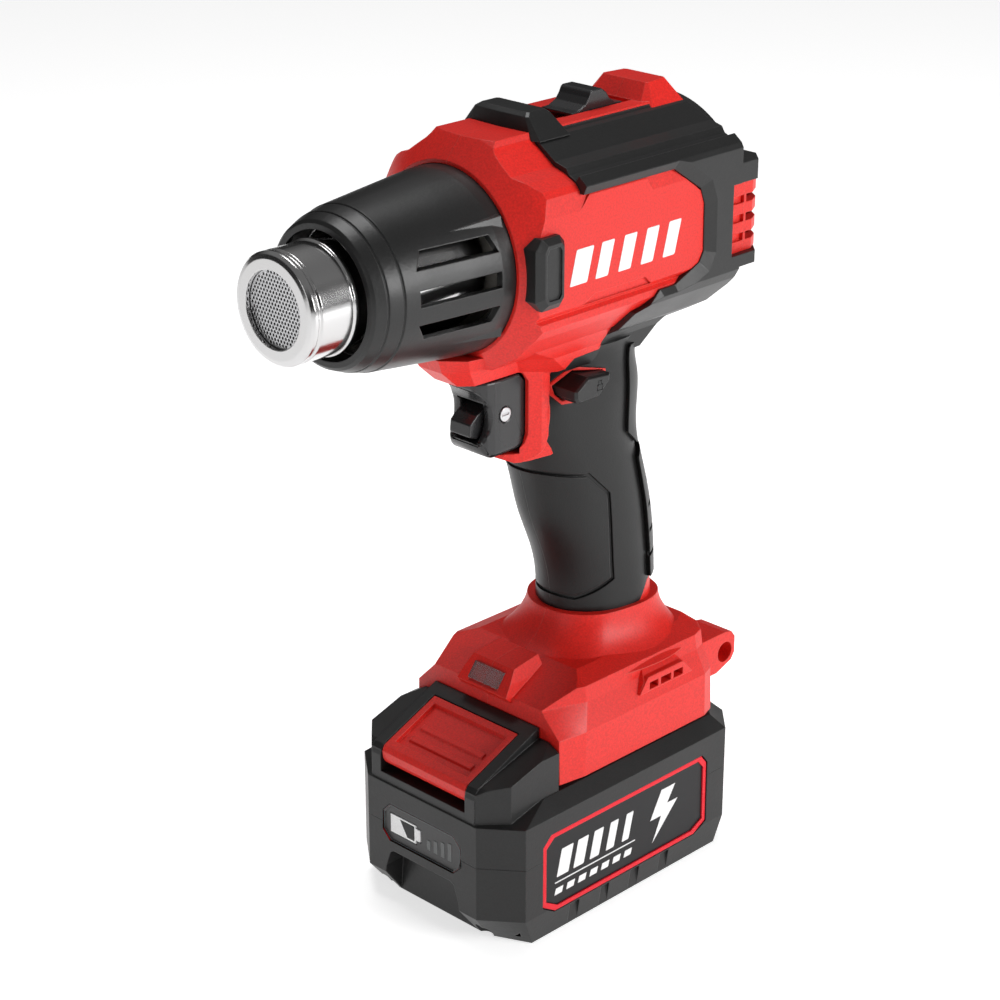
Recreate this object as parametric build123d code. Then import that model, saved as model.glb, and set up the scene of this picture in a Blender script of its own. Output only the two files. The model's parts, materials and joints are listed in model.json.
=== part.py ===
from build123d import *
import math
import os

# Cordless hot-air gun with a slide-on battery pack.
# Millimetres, +Z up.  The nozzle points to -X, the tool's left side is -Y.
# The origin is the middle of the pack's base.

# ------------------------------------------------------------------ overall sizes
AXIS_Z = 225.0
PACK_LENGTH = 118.0
PACK_WIDTH = 76.0
DECK_Z = 262.0
BARREL_HALF_WIDTH = 34.0
BARREL_FRONT_X = -45.0
BARREL_REAR_X = 48.5
REAR_X = 53.6
REAR_R = 36.9
WALL = 2.6
FIT_GAP = 0.35
RUNNING_GAP = 0.05

# ------------------------------------------------------------------ nozzle and heater
NOZZLE_FRONT_X = -114.0
NOZZLE_LIP_R = 17.0
NOZZLE_BEAD_R = 17.5
NOZZLE_TUBE_R = 16.3
NOZZLE_WALL = 0.9
NOZZLE_FACE_R = 14.9
NOZZLE_MOUTH_R = 11.8
NOZZLE_BACK_X = -50.0
GRILLE_DEPTH = 1.7
GRILLE_THICK = 0.8
GRILLE_HOLE_R = 0.42
GRILLE_PITCH = 1.35
SHIELD_R = 20.4
SHIELD_WALL = 0.7
MICA_R = NOZZLE_TUBE_R - NOZZLE_WALL - 0.25
MICA_WALL = 0.7
COIL_R = 9.6
COIL_WIRE = 1.3
COIL_TURNS = 8
CORE_THICK = 1.8

# ------------------------------------------------------------------ front shroud
SHROUD_FRONT_X = -95.5
SHROUD_FRONT_R = 22.4
SHROUD_BACK_R = 29.1
SHROUD_BACK_X = -40.5
SHROUD_MOUTH_R = 19.6
SHROUD_WALL = 2.2
SLOT_X0 = -80.5
SLOT_X1 = -50.5
SLOT_HEIGHT = 5.0
SLOT_PITCH = 10.6

# ------------------------------------------------------------------ motor and fan
FAN_R = 24.0
FAN_HUB_R = 8.0
FAN_WIDTH = 12.0
FAN_X = -12.0
FAN_BLADES = 11
MOTOR_R = 17.5
MOTOR_X0 = 4.0
MOTOR_X1 = 40.0
SHAFT_R = 1.6

# ------------------------------------------------------------------ handle
HANDLE_HALF_WIDTH = 17.0
GRIP_SKIN = 1.6
HANDLE_SECTIONS = (
    (84.0, 1.8, 40.4, 17.8),
    (93.0, 1.5, 40.4, 17.6),
    (104.0, 0.5, 40.2, 17.0),
    (115.0, -2.5, 39.4, 17.0),
    (129.0, -8.3, 37.2, 17.0),
    (142.0, -12.0, 33.6, 17.0),
    (152.0, -15.5, 30.8, 17.0),
    (161.0, -19.6, 29.9, 17.0),
    (176.0, -20.4, 29.9, 17.0),
    (190.0, -21.0, 33.0, 17.4),
)
GRIP_BOTTOM_Z = 93.0

# ------------------------------------------------------------------ trigger group
TRIGGER_HALF_WIDTH = 9.0
TRIGGER_BACK_X = -19.3
TRIGGER_TOP_Z = 184.9
TRIGGER_BOTTOM_Z = 158.8
TRIGGER_TRAVEL = 5.0
TAB_HALF_WIDTH = 4.5
PIN_X = -29.0
PIN_Z = 173.0
PIN_R = 1.6
PIN_HEAD_R = 2.3
LOCK_X0 = -11.5
LOCK_X1 = 4.5
LOCK_Z0 = 175.0
LOCK_Z1 = 182.6
LOCK_PROUD = 5.0

# ------------------------------------------------------------------ foot
FOOT_FRONT_X = -28.3
FOOT_REAR_X = 51.5
FOOT_HALF_WIDTH = 34.6
FOOT_BOTTOM_Z = 50.8
LUG_HOLE_X = 61.0
LUG_HOLE_Z = 65.6
LUG_HOLE_R = 3.7
LUG_Y0 = -27.0
LUG_Y1 = -13.4

# ------------------------------------------------------------------ battery pack
PACK_SEAM_Z = 29.7
PACK_EDGE_Z = 44.4
PACK_DECK_Z = 49.1
PACK_CHAMFER_Z = 10.4
PACK_WALL = 2.3
PACK_SCREW_Z = 9.0
RAIL_HEAD_HALF = 24.0
RAIL_NECK_HALF = 19.6
RAIL_LIP_Z = 53.2
RAIL_TOP_Z = 58.0
RAIL_REAR_X = 39.5
HUMP_FRONT_X = -58.4
HUMP_REAR_X = -28.7
HUMP_HALF_WIDTH = 24.0
HUMP_SLOPE = 0.415
BUTTON_HALF_WIDTH = 19.3
BUTTON_TRAVEL = 2.0
LABEL_DEPTH = 1.3
KEY_TRAVEL = 0.5
BAR_PITCH = 3.27
BAR_HALF = 0.9
BAR_LOW_Z = 26.9
KEY_DEPTH = 1.3 + KEY_TRAVEL + 0.3
CELL_R = 9.1
CELL_LENGTH = 65.0
CELL_PITCH = 19.2
CELL_ROWS_Z = (12.6, 31.4)


# ------------------------------------------------------------------ small helpers
def polygon(points):
    """Face through the given corner points."""
    return Face(Wire.make_polygon([Vector(*p) for p in points], close=True))


def prism_x(points, x0, x1):
    """Polygon given in (y, z), drawn out from x0 to x1."""
    return Solid.extrude(polygon([(x0, y, z) for y, z in points]), Vector(x1 - x0, 0, 0))


def prism_y(points, y0, y1):
    """Polygon given in (x, z), drawn out from y0 to y1."""
    return Solid.extrude(polygon([(x, y0, z) for x, z in points]), Vector(0, y1 - y0, 0))


def prism_z(points, z0, z1):
    """Polygon given in (x, y), drawn out from z0 to z1."""
    return Solid.extrude(polygon([(x, y, z0) for x, y in points]), Vector(0, 0, z1 - z0))


def grown(points, amount):
    """Corner points moved out so that each edge of a clockwise outline shifts by the amount."""
    moved = []
    count = len(points)
    for k in range(count):
        px, pz = points[k - 1]
        x, z = points[k]
        nx, nz = points[(k + 1) % count]
        a = Vector(x - px, z - pz, 0).normalized()
        b = Vector(nx - x, nz - z, 0).normalized()
        normal_a = Vector(-a.Y, a.X, 0)
        normal_b = Vector(-b.Y, b.X, 0)
        shift = (normal_a + normal_b) * (amount / (1.0 + normal_a.dot(normal_b)))
        moved.append((x + shift.X, z + shift.Y))
    return moved


def block(x0, x1, y0, y1, z0, z1):
    """Plain box between two corners."""
    return prism_z([(x0, y0), (x1, y0), (x1, y1), (x0, y1)], z0, z1)


def both_sides(half):
    """Close a half outline, given on the +y side, with its mirror image."""
    back = [(-a, b) for a, b in reversed(half) if abs(a) > 1e-9]
    return list(half) + back


def both_plan(half):
    """Close a half plan outline (x, y >= 0) with its mirror image."""
    back = [(a, -b) for a, b in reversed(half) if abs(b) > 1e-9]
    return list(half) + back


def loft_z(levels):
    """Flat-sided body through plan outlines at the given heights."""
    wires = [Wire.make_polygon([Vector(x, y, z) for x, y in pts], close=True) for z, pts in levels]
    return Solid.make_loft(wires, ruled=True)


def loft_x(levels):
    """Flat-sided body through (y, z) outlines at the given x places."""
    wires = [Wire.make_polygon([Vector(x, y, z) for y, z in pts], close=True) for x, pts in levels]
    return Solid.make_loft(wires, ruled=True)


def turned(points):
    """Ring turned about the air axis from an (x, radius) outline."""
    face = polygon([(x, 0, AXIS_Z + r) for x, r in points])
    return revolve(face, axis=Axis((0, 0, AXIS_Z), (1, 0, 0)), revolution_arc=360)


def rod_x(x0, x1, y, z, radius):
    """Round bar along X."""
    return Solid.make_cylinder(radius, x1 - x0, Plane(origin=(x0, y, z), z_dir=(1, 0, 0)))


def rod_y(y0, y1, x, z, radius):
    """Round bar along Y."""
    return Solid.make_cylinder(radius, y1 - y0, Plane(origin=(x, y0, z), z_dir=(0, 1, 0)))


def rod_z(z0, z1, x, y, radius):
    """Round bar along Z."""
    return Solid.make_cylinder(radius, z1 - z0, Plane(origin=(x, y, z0), z_dir=(0, 0, 1)))


def join(shapes):
    """Union of a list of shapes."""
    result = shapes[0]
    for shape in shapes[1:]:
        result = result + shape
    return result


def largest(shape):
    """The biggest solid of a result that may hold slivers."""
    return max(shape.solids(), key=lambda s: s.volume)


def clean_parts(shape, least=2.0):
    """Every solid above a small volume, as one compound or one solid."""
    keep = [s for s in shape.solids() if s.volume > least]
    if len(keep) == 1:
        return keep[0]
    return Compound(children=keep)


def left_half(shape):
    """The part of a shape on the tool's left, -Y."""
    return shape & block(-200, 200, -100, 0, -50, 400)


def right_half(shape):
    """The part of a shape on the tool's right, +Y."""
    return shape & block(-200, 200, 0, 100, -50, 400)


def save(shape, name):
    """Write one node."""
    shape.label = name
    export_step(shape, "parts/" + name + ".step")
    print(name, round(shape.volume, 1), len(shape.solids()))


# ------------------------------------------------------------------ barrel outlines
W = BARREL_HALF_WIDTH
BODY_HALF = [
    (0.0, DECK_Z), (12.5, DECK_Z), (13.3, 260.2), (14.5, 258.8), (22.0, 253.4),
    (26.6, 252.0), (31.0, 249.8), (33.0, 247.6), (W, 246.4), (W, 213.0),
    (W - 1.5, 211.2), (W - 0.4, 210.0), (W - 0.4, 207.8), (31.0, 204.6),
    (24.0, 197.6), (14.0, 191.6), (0.0, 190.0),
]
CAVITY_HALF = [
    (0.0, 258.6), (10.5, 258.6), (12.0, 256.6), (20.5, 250.6), (26.0, 249.2),
    (29.6, 246.6), (W - WALL, 243.8), (W - WALL, 211.0), (28.6, 206.6),
    (22.2, 200.6), (13.2, 194.6), (0.0, 193.0),
]
ARMOUR_SKIN = 2.3
ARMOUR_HALF = [
    (0.0, DECK_Z - 0.2), (12.4, DECK_Z - 0.2), (13.6, 260.5), (15.2, 260.0), (22.6, 254.9),
    (27.2, 253.7), (28.4, 251.8), (31.2, 250.6), (32.4, 252.3), (35.4, 250.0), (W + ARMOUR_SKIN, 248.4),
    (W + ARMOUR_SKIN, 208.8), (34.4, 205.6), (26.0, 196.8), (15.0, 190.4), (0.0, 188.8),
]
ARMOUR_OUTLINE = [
    (-22.0, 268.0), (-22.0, 247.0), (18.8, 247.0), (31.6, 238.4), (33.6, 233.2), (33.8, 217.8),
    (31.8, 214.4), (20.4, 209.6), (13.4, 209.6), (8.6, 205.2), (4.6, 203.4), (4.0, 197.0),
    (4.0, 186.0), (60.0, 186.0), (60.0, 268.0),
]
WINDOW = [
    (-60.0, 247.0), (18.8, 247.0), (31.6, 238.4), (33.6, 233.2), (33.8, 217.8),
    (31.8, 214.4), (20.4, 209.6), (13.4, 209.6), (8.6, 205.2), (4.0, 203.1), (4.0, 180.0), (-60.0, 180.0),
]
WINDOW_BEVEL = 4.4
REAR_CUT = [
    (43.5, 270.0), (43.5, 262.2), (46.6, 259.6), (BARREL_REAR_X + 0.9, 254.6), (BARREL_REAR_X + 0.9, 270.0),
]
BELLY_CUT = [(26.0, 186.0), (30.0, 188.8), (44.0, 193.6), (49.6, 203.0), (60.0, 212.0), (60.0, 186.0)]


def flare(inset):
    """Neck that spreads from the handle up into the barrel's underside."""
    k = inset
    low = [(-22.0 + k, 9.0 - k / 2), (-10.0, 17.2 - k), (24.0, 17.2 - k), (33.0 - k, 9.0 - k / 2)]
    mid = [(-33.0 + k, 9.0 - k / 2), (-18.0, 19.0 - k), (30.0, 19.0 - k), (42.0 - k, 9.0 - k / 2)]
    top = [(-43.0 + k, 10.0 - k / 2), (-37.0 + k, 25.0 - k), (38.0 - k, 25.0 - k), (47.0 - k, 12.0 - k / 2)]
    body = loft_z([(184.5, both_plan(low)), (191.0, both_plan(mid)), (200.0, both_plan(top))])
    return body


def handle_solid(inset):
    """Handle core with a rounded nose, drawn in evenly by the inset."""
    wires = []
    for z, front, rear, half in HANDLE_SECTIONS:
        f = front + inset
        r = rear - inset
        w = half - inset
        side = [
            (f, 0.0), (f + 1.0, w * 0.32), (f + 4.4, w * 0.62), (f + 9.8, w * 0.87),
            (f + 16.5, w), (r - 10.5, w), (r - 4.4, w * 0.78), (r - 1.0, w * 0.42),
        ]
        ring = side + [(r, 0.0)] + [(x, -y) for x, y in reversed(side[1:])]
        edge = Edge.make_spline([Vector(x, y, z) for x, y in ring], periodic=True)
        wires.append(Wire([edge]))
    return Solid.make_loft(wires, ruled=False)


def barrel_outer():
    """Outside of the red barrel: faceted, with a coned front flange."""
    body = prism_x(both_sides(BODY_HALF), BARREL_FRONT_X, BARREL_REAR_X)
    cone = turned([
        (BARREL_FRONT_X, 0.0), (BARREL_FRONT_X, 30.4), (-38.6, 37.6), (-33.0, 42.5), (60.0, 42.5), (60.0, 0.0),
    ])
    body = body & cone
    for side in (-1, 1):
        edge = [(side * 32.6, 248.2), (side * 36.0, 248.2), (side * 36.0, 239.0), (side * W, 242.4)]
        strip = prism_x(edge, -60.0, 60.0)
        span = [(-60.0, 250.0), (-16.0, 250.0), (-23.0, 242.2), (-60.0, 242.2)]
        body = body - (strip & prism_y(span, -40.0, 40.0))
        span = [(4.0, 250.0), (60.0, 250.0), (60.0, 242.2), (9.6, 242.2)]
        body = body - (strip & prism_y(span, -40.0, 40.0))
        groove = [(-21.5, 212.4), (-16.0, 215.2), (6.8, 215.2), (9.8, 212.4)]
        body = body - prism_y(groove, side * (W - 1.1), side * (W + 2.0))
        pocket = [(18.0, 247.6), (33.0, 236.8), (34.0, 233.0), (34.0, 217.0), (31.6, 214.2), (20.0, 209.0), (60.0, 209.0), (60.0, 247.6)]
        body = body - (prism_y(pocket, side * (W - 0.9), side * (W + 2.0)) & block(-60, 45.6, -60, 60, 180, 260))
    body = body - prism_y(REAR_CUT, -50.0, 50.0)
    body = body - prism_y([(x - 1.2, z + 0.8) for x, z in BELLY_CUT], -50.0, 50.0)
    return body


def rear_bump():
    """Raised red block behind the mode slider."""
    low = [(27.8, 0.0), (27.8, 11.5), (31.0, 14.2), (46.0, 14.2), (48.0, 9.0), (48.0, 0.0)]
    top = [(33.4, 0.0), (33.4, 8.8), (34.2, 9.6), (42.6, 8.6), (43.2, 7.6), (43.2, 0.0)]
    return loft_z([(260.0, both_plan(low)), (267.2, both_plan(top))])


def chin():
    """Forward lip of the barrel that runs under the shroud above the trigger."""
    low = [(-46.0, 5.0), (-42.0, 8.6), (-16.0, 9.6)]
    mid = [(-52.5, 5.0), (-46.0, 10.6), (-16.0, 14.0)]
    top = [(-55.0, 6.0), (-49.0, 13.0), (-16.0, 20.0)]
    return loft_z([(185.6, both_plan(low)), (191.4, both_plan(mid)), (196.4, both_plan(top))])


def trigger_lip():
    """Red lip under the trigger."""
    outline = [
        (-29.4, 158.3), (-28.8, 157.2), (-24.6, 155.3), (-19.4, 155.3), (-12.0, 155.6), (-4.0, 157.5),
        (-4.0, 163.0), (-16.0, 163.0), (-16.0, 158.3),
    ]
    lip = prism_y(outline, -12.4, 12.4)
    plan = both_plan([(-29.4, 4.0), (-27.4, 6.6), (-21.0, 10.2), (-12.0, 12.4), (-4.0, 12.4)])
    return lip & prism_z(plan, 150.0, 170.0)


def trigger_rim():
    """Raised red band behind the trigger, whose cheeks flank the trigger's back."""
    band = prism_y([
        (-24.8, 192.0), (-24.8, 187.2), (-22.2, 185.2), (-20.6, 182.4), (-20.6, 164.8), (-21.6, 161.8),
        (-23.6, 159.6), (-27.4, 158.3), (-27.0, 156.4), (-24.6, 155.3), (-14.0, 155.3), (-10.0, 157.0), (-10.0, 192.0),
    ], -15.0, 15.0)
    plan = both_plan([(-28.0, 6.0), (-24.6, 8.6), (-20.6, 10.8), (-16.8, 12.9), (-9.0, 13.8)])
    return (band & prism_z(plan, 150.0, 192.0)) - prism_y(GRIP_REGION, -60.0, 60.0)


def foot_outer():
    """Outside of the red foot, up to the handle collar."""
    skirt = [(FOOT_FRONT_X, 33.0), (-18.0, FOOT_HALF_WIDTH), (42.0, FOOT_HALF_WIDTH), (47.5, 32.6), (FOOT_REAR_X, 26.0)]
    ledge = [(FOOT_FRONT_X, 32.6), (-17.0, 34.2), (42.0, 34.2), (47.2, 32.2), (FOOT_REAR_X - 0.2, 26.0)]
    waist = [(FOOT_FRONT_X, 24.6), (-13.0, 30.6), (41.5, 30.6), (46.6, 28.8), (50.8, 23.6)]
    brow = [(FOOT_FRONT_X + 0.2, 23.6), (-13.0, 29.6), (41.5, 29.6), (46.4, 28.0), (50.4, 23.0)]
    deck = [(-26.6, 20.0), (-11.0, 22.4), (38.0, 22.4), (42.4, 21.0), (48.0, 17.6)]
    body = loft_z([(FOOT_BOTTOM_Z, both_plan(skirt)), (66.4, both_plan(ledge))])
    body = body + loft_z([(66.4, both_plan(ledge)), (74.6, both_plan(waist))])
    body = body + loft_z([(74.6, both_plan(waist)), (79.8, both_plan(brow))])
    body = body + loft_z([(79.8, both_plan(brow)), (82.4, both_plan(deck))])
    slope = [(-60.0, 74.8), (FOOT_FRONT_X, 74.8), (-9.6, 82.4), (-9.6, 110.0), (-60.0, 110.0)]
    body = body - prism_y(slope, -50.0, 50.0)
    body = body + fairing()
    return body


def fairing():
    """Concave sweep from the foot's deck up to the handle collar."""
    wires = []
    for z, front, rear, half in ((77.6, -20.4, 50.2, 28.0), (80.8, -13.6, 49.0, 24.2), (84.8, -7.0, 46.4, 21.3), (89.4, -2.8, 43.8, 19.8), (94.2, -0.9, 42.6, 19.2)):
        f, r, w = front, rear, half
        side = [(f, 0.0), (f + 1.0, w * 0.34), (f + 4.6, w * 0.66), (f + 10.4, w * 0.9), (f + 17.5, w), (r - 11.0, w), (r - 4.4, w * 0.8), (r - 1.0, w * 0.44)]
        ring = side + [(r, 0.0)] + [(x, -y) for x, y in reversed(side[1:])]
        wires.append(Wire([Edge.make_spline([Vector(x, y, z) for x, y in ring], periodic=True)]))
    return Solid.make_loft(wires, ruled=False)


def led_pod():
    """Raised housing of the work light on the foot's front slope."""
    outline = [(-31.2, 75.4), (-25.2, 83.2), (-13.4, 84.6), (-12.0, 78.0), (-22.0, 73.0), (-29.0, 73.0)]
    pod = prism_y(outline, -11.4, 11.4)
    taper = prism_x([(-12.0, 72.0), (12.0, 72.0), (10.6, 79.0), (8.4, 86.0), (-8.4, 86.0), (-10.6, 79.0)], -40.0, 0.0)
    return pod & taper


def vent_pod(side):
    """Hooded vent on the side of the foot."""
    face = [(9.0, 70.0), (13.0, 75.4), (30.5, 75.4), (35.5, 70.0)]
    pod = prism_y(face, min(side * 26.0, side * 34.0), max(side * 26.0, side * 34.0))
    roof = prism_x([(side * 36.0, 74.2), (side * 36.0, 80.0), (side * 26.0, 80.0), (side * 29.4, 77.6)], 0.0, 50.0)
    cap = [(9.0, 70.0), (14.4, 78.2), (29.0, 78.2), (35.5, 70.0)]
    hood = prism_x([(side * 33.4, 73.8), (side * 29.4, 78.2), (side * 24.0, 78.2), (side * 24.0, 70.0), (side * 33.4, 70.0)], 8.0, 37.0)
    hood = hood & prism_y(cap, -40.0, 40.0)
    return (pod - roof) + hood


def hang_lug():
    """Cross-drilled lanyard lug that stands on the foot's rear wall."""
    outline = [(44.0, 58.8), (57.0, 58.8), (64.6, 61.6), (66.2, 64.0), (66.2, 70.0), (64.4, 72.4), (61.0, 73.2), (44.0, 73.2)]
    body = prism_y(outline, LUG_Y0, LUG_Y1)
    body = body - foot_outer()
    return largest(body - rod_y(LUG_Y0 - 1, LUG_Y1 + 1, LUG_HOLE_X, LUG_HOLE_Z, LUG_HOLE_R))


# Housing screws: x, z, y of the head's seat on the right half.
SCREWS = (
    (-26.0, 253.6, 15.0), (39.0, 253.4, 15.0), (-27.0, 199.0, 17.0), (38.5, 200.4, 16.0),
    (20.5, 150.0, 12.5), (27.0, 106.0, 12.5), (-20.5, 66.0, 25.0), (45.5, 66.0, 23.0),
)
SCREW_HEAD_R = 2.9
SCREW_HEAD_H = 2.0
SCREW_SHANK_R = 1.4
BOSS_R = 3.9


def screw_bosses():
    """Posts that carry the screws across the seam."""
    posts = []
    for x, z, seat in SCREWS:
        posts.append(rod_y(-seat, seat + 0.6, x, z, BOSS_R))
    return posts


def screw_cuts(reach):
    """Counterbores and clearance holes for the screws in the right half."""
    cuts = []
    for x, z, seat in SCREWS:
        cuts.append(rod_y(seat, seat + reach, x, z, SCREW_HEAD_R + 0.15))
        cuts.append(rod_y(-7.2, seat + 0.1, x, z, SCREW_SHANK_R))
    return cuts


def housing_screws():
    """Eight identical pan-head screws."""
    bodies = []
    for x, z, seat in SCREWS:
        head = rod_y(seat, seat + SCREW_HEAD_H, x, z, SCREW_HEAD_R)
        shank = rod_y(-7.0, seat + 0.1, x, z, SCREW_SHANK_R)
        cross = block(x - 1.8, x + 1.8, seat + 0.9, seat + 4, z - 0.35, z + 0.35)
        cross = cross + block(x - 0.35, x + 0.35, seat + 0.9, seat + 4, z - 1.8, z + 1.8)
        bodies.append((head + shank) - cross)
    return Compound(children=[largest(b) for b in bodies])


GRIP_REGION = [
    (-60.0, GRIP_BOTTOM_Z), (-60.0, 155.3), (-22.6, 155.3), (-18.6, 156.6), (-15.4, 159.2), (-14.0, 163.0),
    (-13.6, 183.6), (-8.0, 188.4), (3.4, 188.8), (4.0, 196.6), (60.0, 196.6), (60.0, GRIP_BOTTOM_Z + 7.0),
    (31.0, GRIP_BOTTOM_Z + 7.0), (26.0, GRIP_BOTTOM_Z + 1.4), (23.0, GRIP_BOTTOM_Z),
]


def red_shell():
    """Both red halves as one body, before it is split on the seam."""
    outer = barrel_outer()
    outer = outer + rear_bump()
    neck = flare(0.0) + handle_solid(0.0)
    outer = outer + neck
    outer = outer + chin()
    outer = outer + trigger_lip() + trigger_rim()
    outer = outer + foot_outer()
    outer = outer + led_pod()
    outer = outer + vent_pod(-1) + vent_pod(1)
    outer = outer + rear_side_block()
    return outer


def rear_side_block():
    """Short step behind the barrel that carries the rear grille."""
    block_body = block(BARREL_REAR_X - 6.0, 53.4, -W, W, 209.0, 241.0)
    return block_body


def grip_skin():
    """Rubber skin around the handle and the rear of the neck."""
    outer = handle_solid(0.0) + flare(0.0)
    core = handle_solid(GRIP_SKIN) + flare(GRIP_SKIN)
    skin = (outer - core) & prism_y(GRIP_REGION, -60.0, 60.0)
    skin = skin - prism_x(both_sides(BODY_HALF), -60.0, 60.0)
    return skin


def lock_window(grow):
    """Cross-hole for the lock button."""
    g = grow
    return [
        (LOCK_X0 - g, LOCK_Z0 + 1.4), (LOCK_X0 + 1.0, LOCK_Z0 - g), (LOCK_X1 - 5.0, LOCK_Z0 - g),
        (LOCK_X1 + g, LOCK_Z1 - 3.0), (LOCK_X1 + g, LOCK_Z1 - 1.0), (LOCK_X0 + 5.6, LOCK_Z1 + g), (LOCK_X0 - g, LOCK_Z0 + 4.0),
    ]


def interior():
    """Hollow space of the two red halves."""
    barrel = prism_x(both_sides(CAVITY_HALF), -41.0, 46.0)
    cone = turned([(-41.0, 0.0), (-41.0, 29.2), (-34.0, 36.6), (60.0, 36.6), (60.0, 0.0)])
    barrel = barrel & cone
    barrel = barrel - prism_y([(x - 3.4, z + 3.4) for x, z in BELLY_CUT], -50.0, 50.0)
    barrel = barrel - prism_y([(x - 2.6, z - 2.8) for x, z in REAR_CUT], -50.0, 50.0)
    handle = handle_solid(4.2) & block(-60, 60, -60, 60, 84.5, 189.5)
    neck = flare(4.2) & block(-30, 60, -60, 60, 184.0, 199.5)
    foot_low = loft_z([
        (60.6, both_plan([(-24.5, 29.8), (-16.0, 31.0), (40.0, 31.0), (45.0, 28.4), (48.6, 23.6)])),
        (66.0, both_plan([(-24.5, 29.0), (-16.0, 30.4), (40.0, 30.4), (44.6, 28.0), (48.2, 23.0)])),
        (74.0, both_plan([(-23.0, 21.0), (-11.0, 27.0), (39.5, 27.0), (43.4, 25.4), (47.0, 20.6)])),
    ])
    foot_top = loft_z([
        (74.0, both_plan([(-21.0, 20.0), (-11.0, 26.0), (38.5, 26.0), (42.4, 24.4), (46.0, 19.6)])),
        (79.2, both_plan([(-9.0, 15.0), (-4.0, 19.0), (34.0, 19.0), (38.0, 17.4), (43.4, 13.6)])),
    ])
    throat = handle_solid(4.2) & block(-60, 60, -60, 60, 84.0, 96.0)
    throat = throat + prism_z(both_plan([(7.0, 6.0), (14.0, 11.4), (28.0, 11.4), (34.5, 6.0)]), 78.0, 86.0)
    return [barrel, handle, neck, foot_low, foot_top, throat]


def shell_cuts():
    """Openings through the red shell."""
    cuts = []
    cuts.append(turned([(-70.0, 0.0), (-70.0, 27.4), (-60.0, 28.2), (-50.0, SHROUD_BACK_R + 0.1), (-40.0, SHROUD_BACK_R + 0.1), (-40.0, 0.0)]))
    cuts.append(block(44.0, 54.0, -29.4, 29.4, 214.6, 236.2))
    cuts.append(block(-60.0, -13.3, -TRIGGER_HALF_WIDTH - 0.35, TRIGGER_HALF_WIDTH + 0.35, TRIGGER_BOTTOM_Z - 0.45, TRIGGER_TOP_Z + 0.4))
    cuts.append(block(-14.0, -4.0, -5.4, 5.4, 166.0, 182.0))
    cuts.append(prism_y(lock_window(FIT_GAP), -40.0, 40.0))
    cuts.append(block(-8.2, 29.2, -6.9, 6.9, DECK_Z - 1.4, 275.0))
    cuts.append(block(-1.0, 22.0, -2.6, 2.6, 255.0, 262.0))
    channel = block(FOOT_FRONT_X - 5.0, RAIL_REAR_X + 0.5, -RAIL_HEAD_HALF - 0.4, RAIL_HEAD_HALF + 0.4, RAIL_LIP_Z + 0.2, RAIL_TOP_Z + 0.4)
    cuts.append(channel)
    cuts.append(block(FOOT_FRONT_X - 5.0, RAIL_REAR_X + 0.5, -RAIL_NECK_HALF - 0.4, RAIL_NECK_HALF + 0.4, 40.0, RAIL_TOP_Z))
    cuts.append(block(RAIL_REAR_X - 1.0, 45.4, -17.0, 17.0, FOOT_BOTTOM_Z + 1.6, 62.0))
    for side in (-1, 1):
        for x0, x1 in ((13.8, 18.2), (19.4, 24.6), (25.8, 30.6)):
            cuts.append(block(x0, x1, min(side * 24.0, side * 40.0), max(side * 24.0, side * 40.0), 70.6, 73.2))
        for z0, z1 in ((229.4, 232.0), (223.2, 225.8), (217.0, 219.6)):
            cuts.append(block(47.8, 53.6, min(side * (W - 1.2), side * 40.0), max(side * (W - 1.2), side * 40.0), z0, z1))
    window = prism_y([(-33.5, 75.0), (-29.7, 76.4), (-26.2, 81.0), (-27.15, 84.6), (-36.0, 78.0)], -6.6, 6.6)
    cuts.append(window)
    cuts.append(prism_y([(-29.2, 76.6), (-26.4, 80.4), (-20.0, 76.0), (-20.0, 71.0), (-24.0, 71.0)], -5.4, 5.4))
    return cuts


def housing():
    """The two red halves."""
    shell = red_shell()
    solid_posts = []
    for space in interior():
        shell = shell - space
    outline = red_shell()
    for post in screw_bosses():
        solid_posts.append(post & outline)
    for post in solid_posts:
        shell = shell + post
    for cut in shell_cuts():
        shell = shell - cut
    shell = shell - grip_skin()
    left = left_half(shell)
    right = right_half(shell)
    for cut in screw_cuts(30.0):
        right = right - cut
        left = left - cut if cut.bounding_box().min.Y < 0 else left
    return largest(left), largest(right)


def armour():
    """Black rubber armour over the barrel, both halves together."""
    hull = prism_x(both_sides(ARMOUR_HALF), -22.0, BARREL_REAR_X + 0.9)
    hull = hull & prism_y(ARMOUR_OUTLINE, -60.0, 60.0)
    for side in (-1, 1):
        hull = hull - window_bevel(side)
    hull = hull - prism_y(REAR_CUT, -50.0, 50.0)
    rim = turned([
        (38.0, 0.0), (38.0, REAR_R - 0.9), (42.0, REAR_R), (50.6, REAR_R - 0.4),
        (REAR_X - 0.6, REAR_R - 1.4), (REAR_X, REAR_R - 2.2), (REAR_X, 0.0),
    ])
    hull = hull + (rim - block(30.0, 60.0, -60.0, 60.0, 211.0, 239.0))
    hull = hull - prism_y(BELLY_CUT, -50.0, 50.0)
    hull = hull - block(45.4, 60.0, -60.0, 60.0, 213.4, 236.9)
    bumper = both_plan([(40.0, 30.0), (40.0, W + ARMOUR_SKIN), (57.0, W + ARMOUR_SKIN), (65.0, 28.0)])
    top = prism_z(bumper, 237.0, 243.4) & prism_y([(40, 237), (66, 237), (66, 240.6), (62.0, 243.4), (40, 243.4)], -60, 60)
    low = prism_z(bumper, 209.4, 213.4) & prism_y([(40, 213.4), (66, 213.4), (66, 211.4), (63.0, 209.4), (40, 209.4)], -60, 60)
    hull = hull + top + low
    hull = hull - red_barrel_parts()
    return hull


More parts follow.
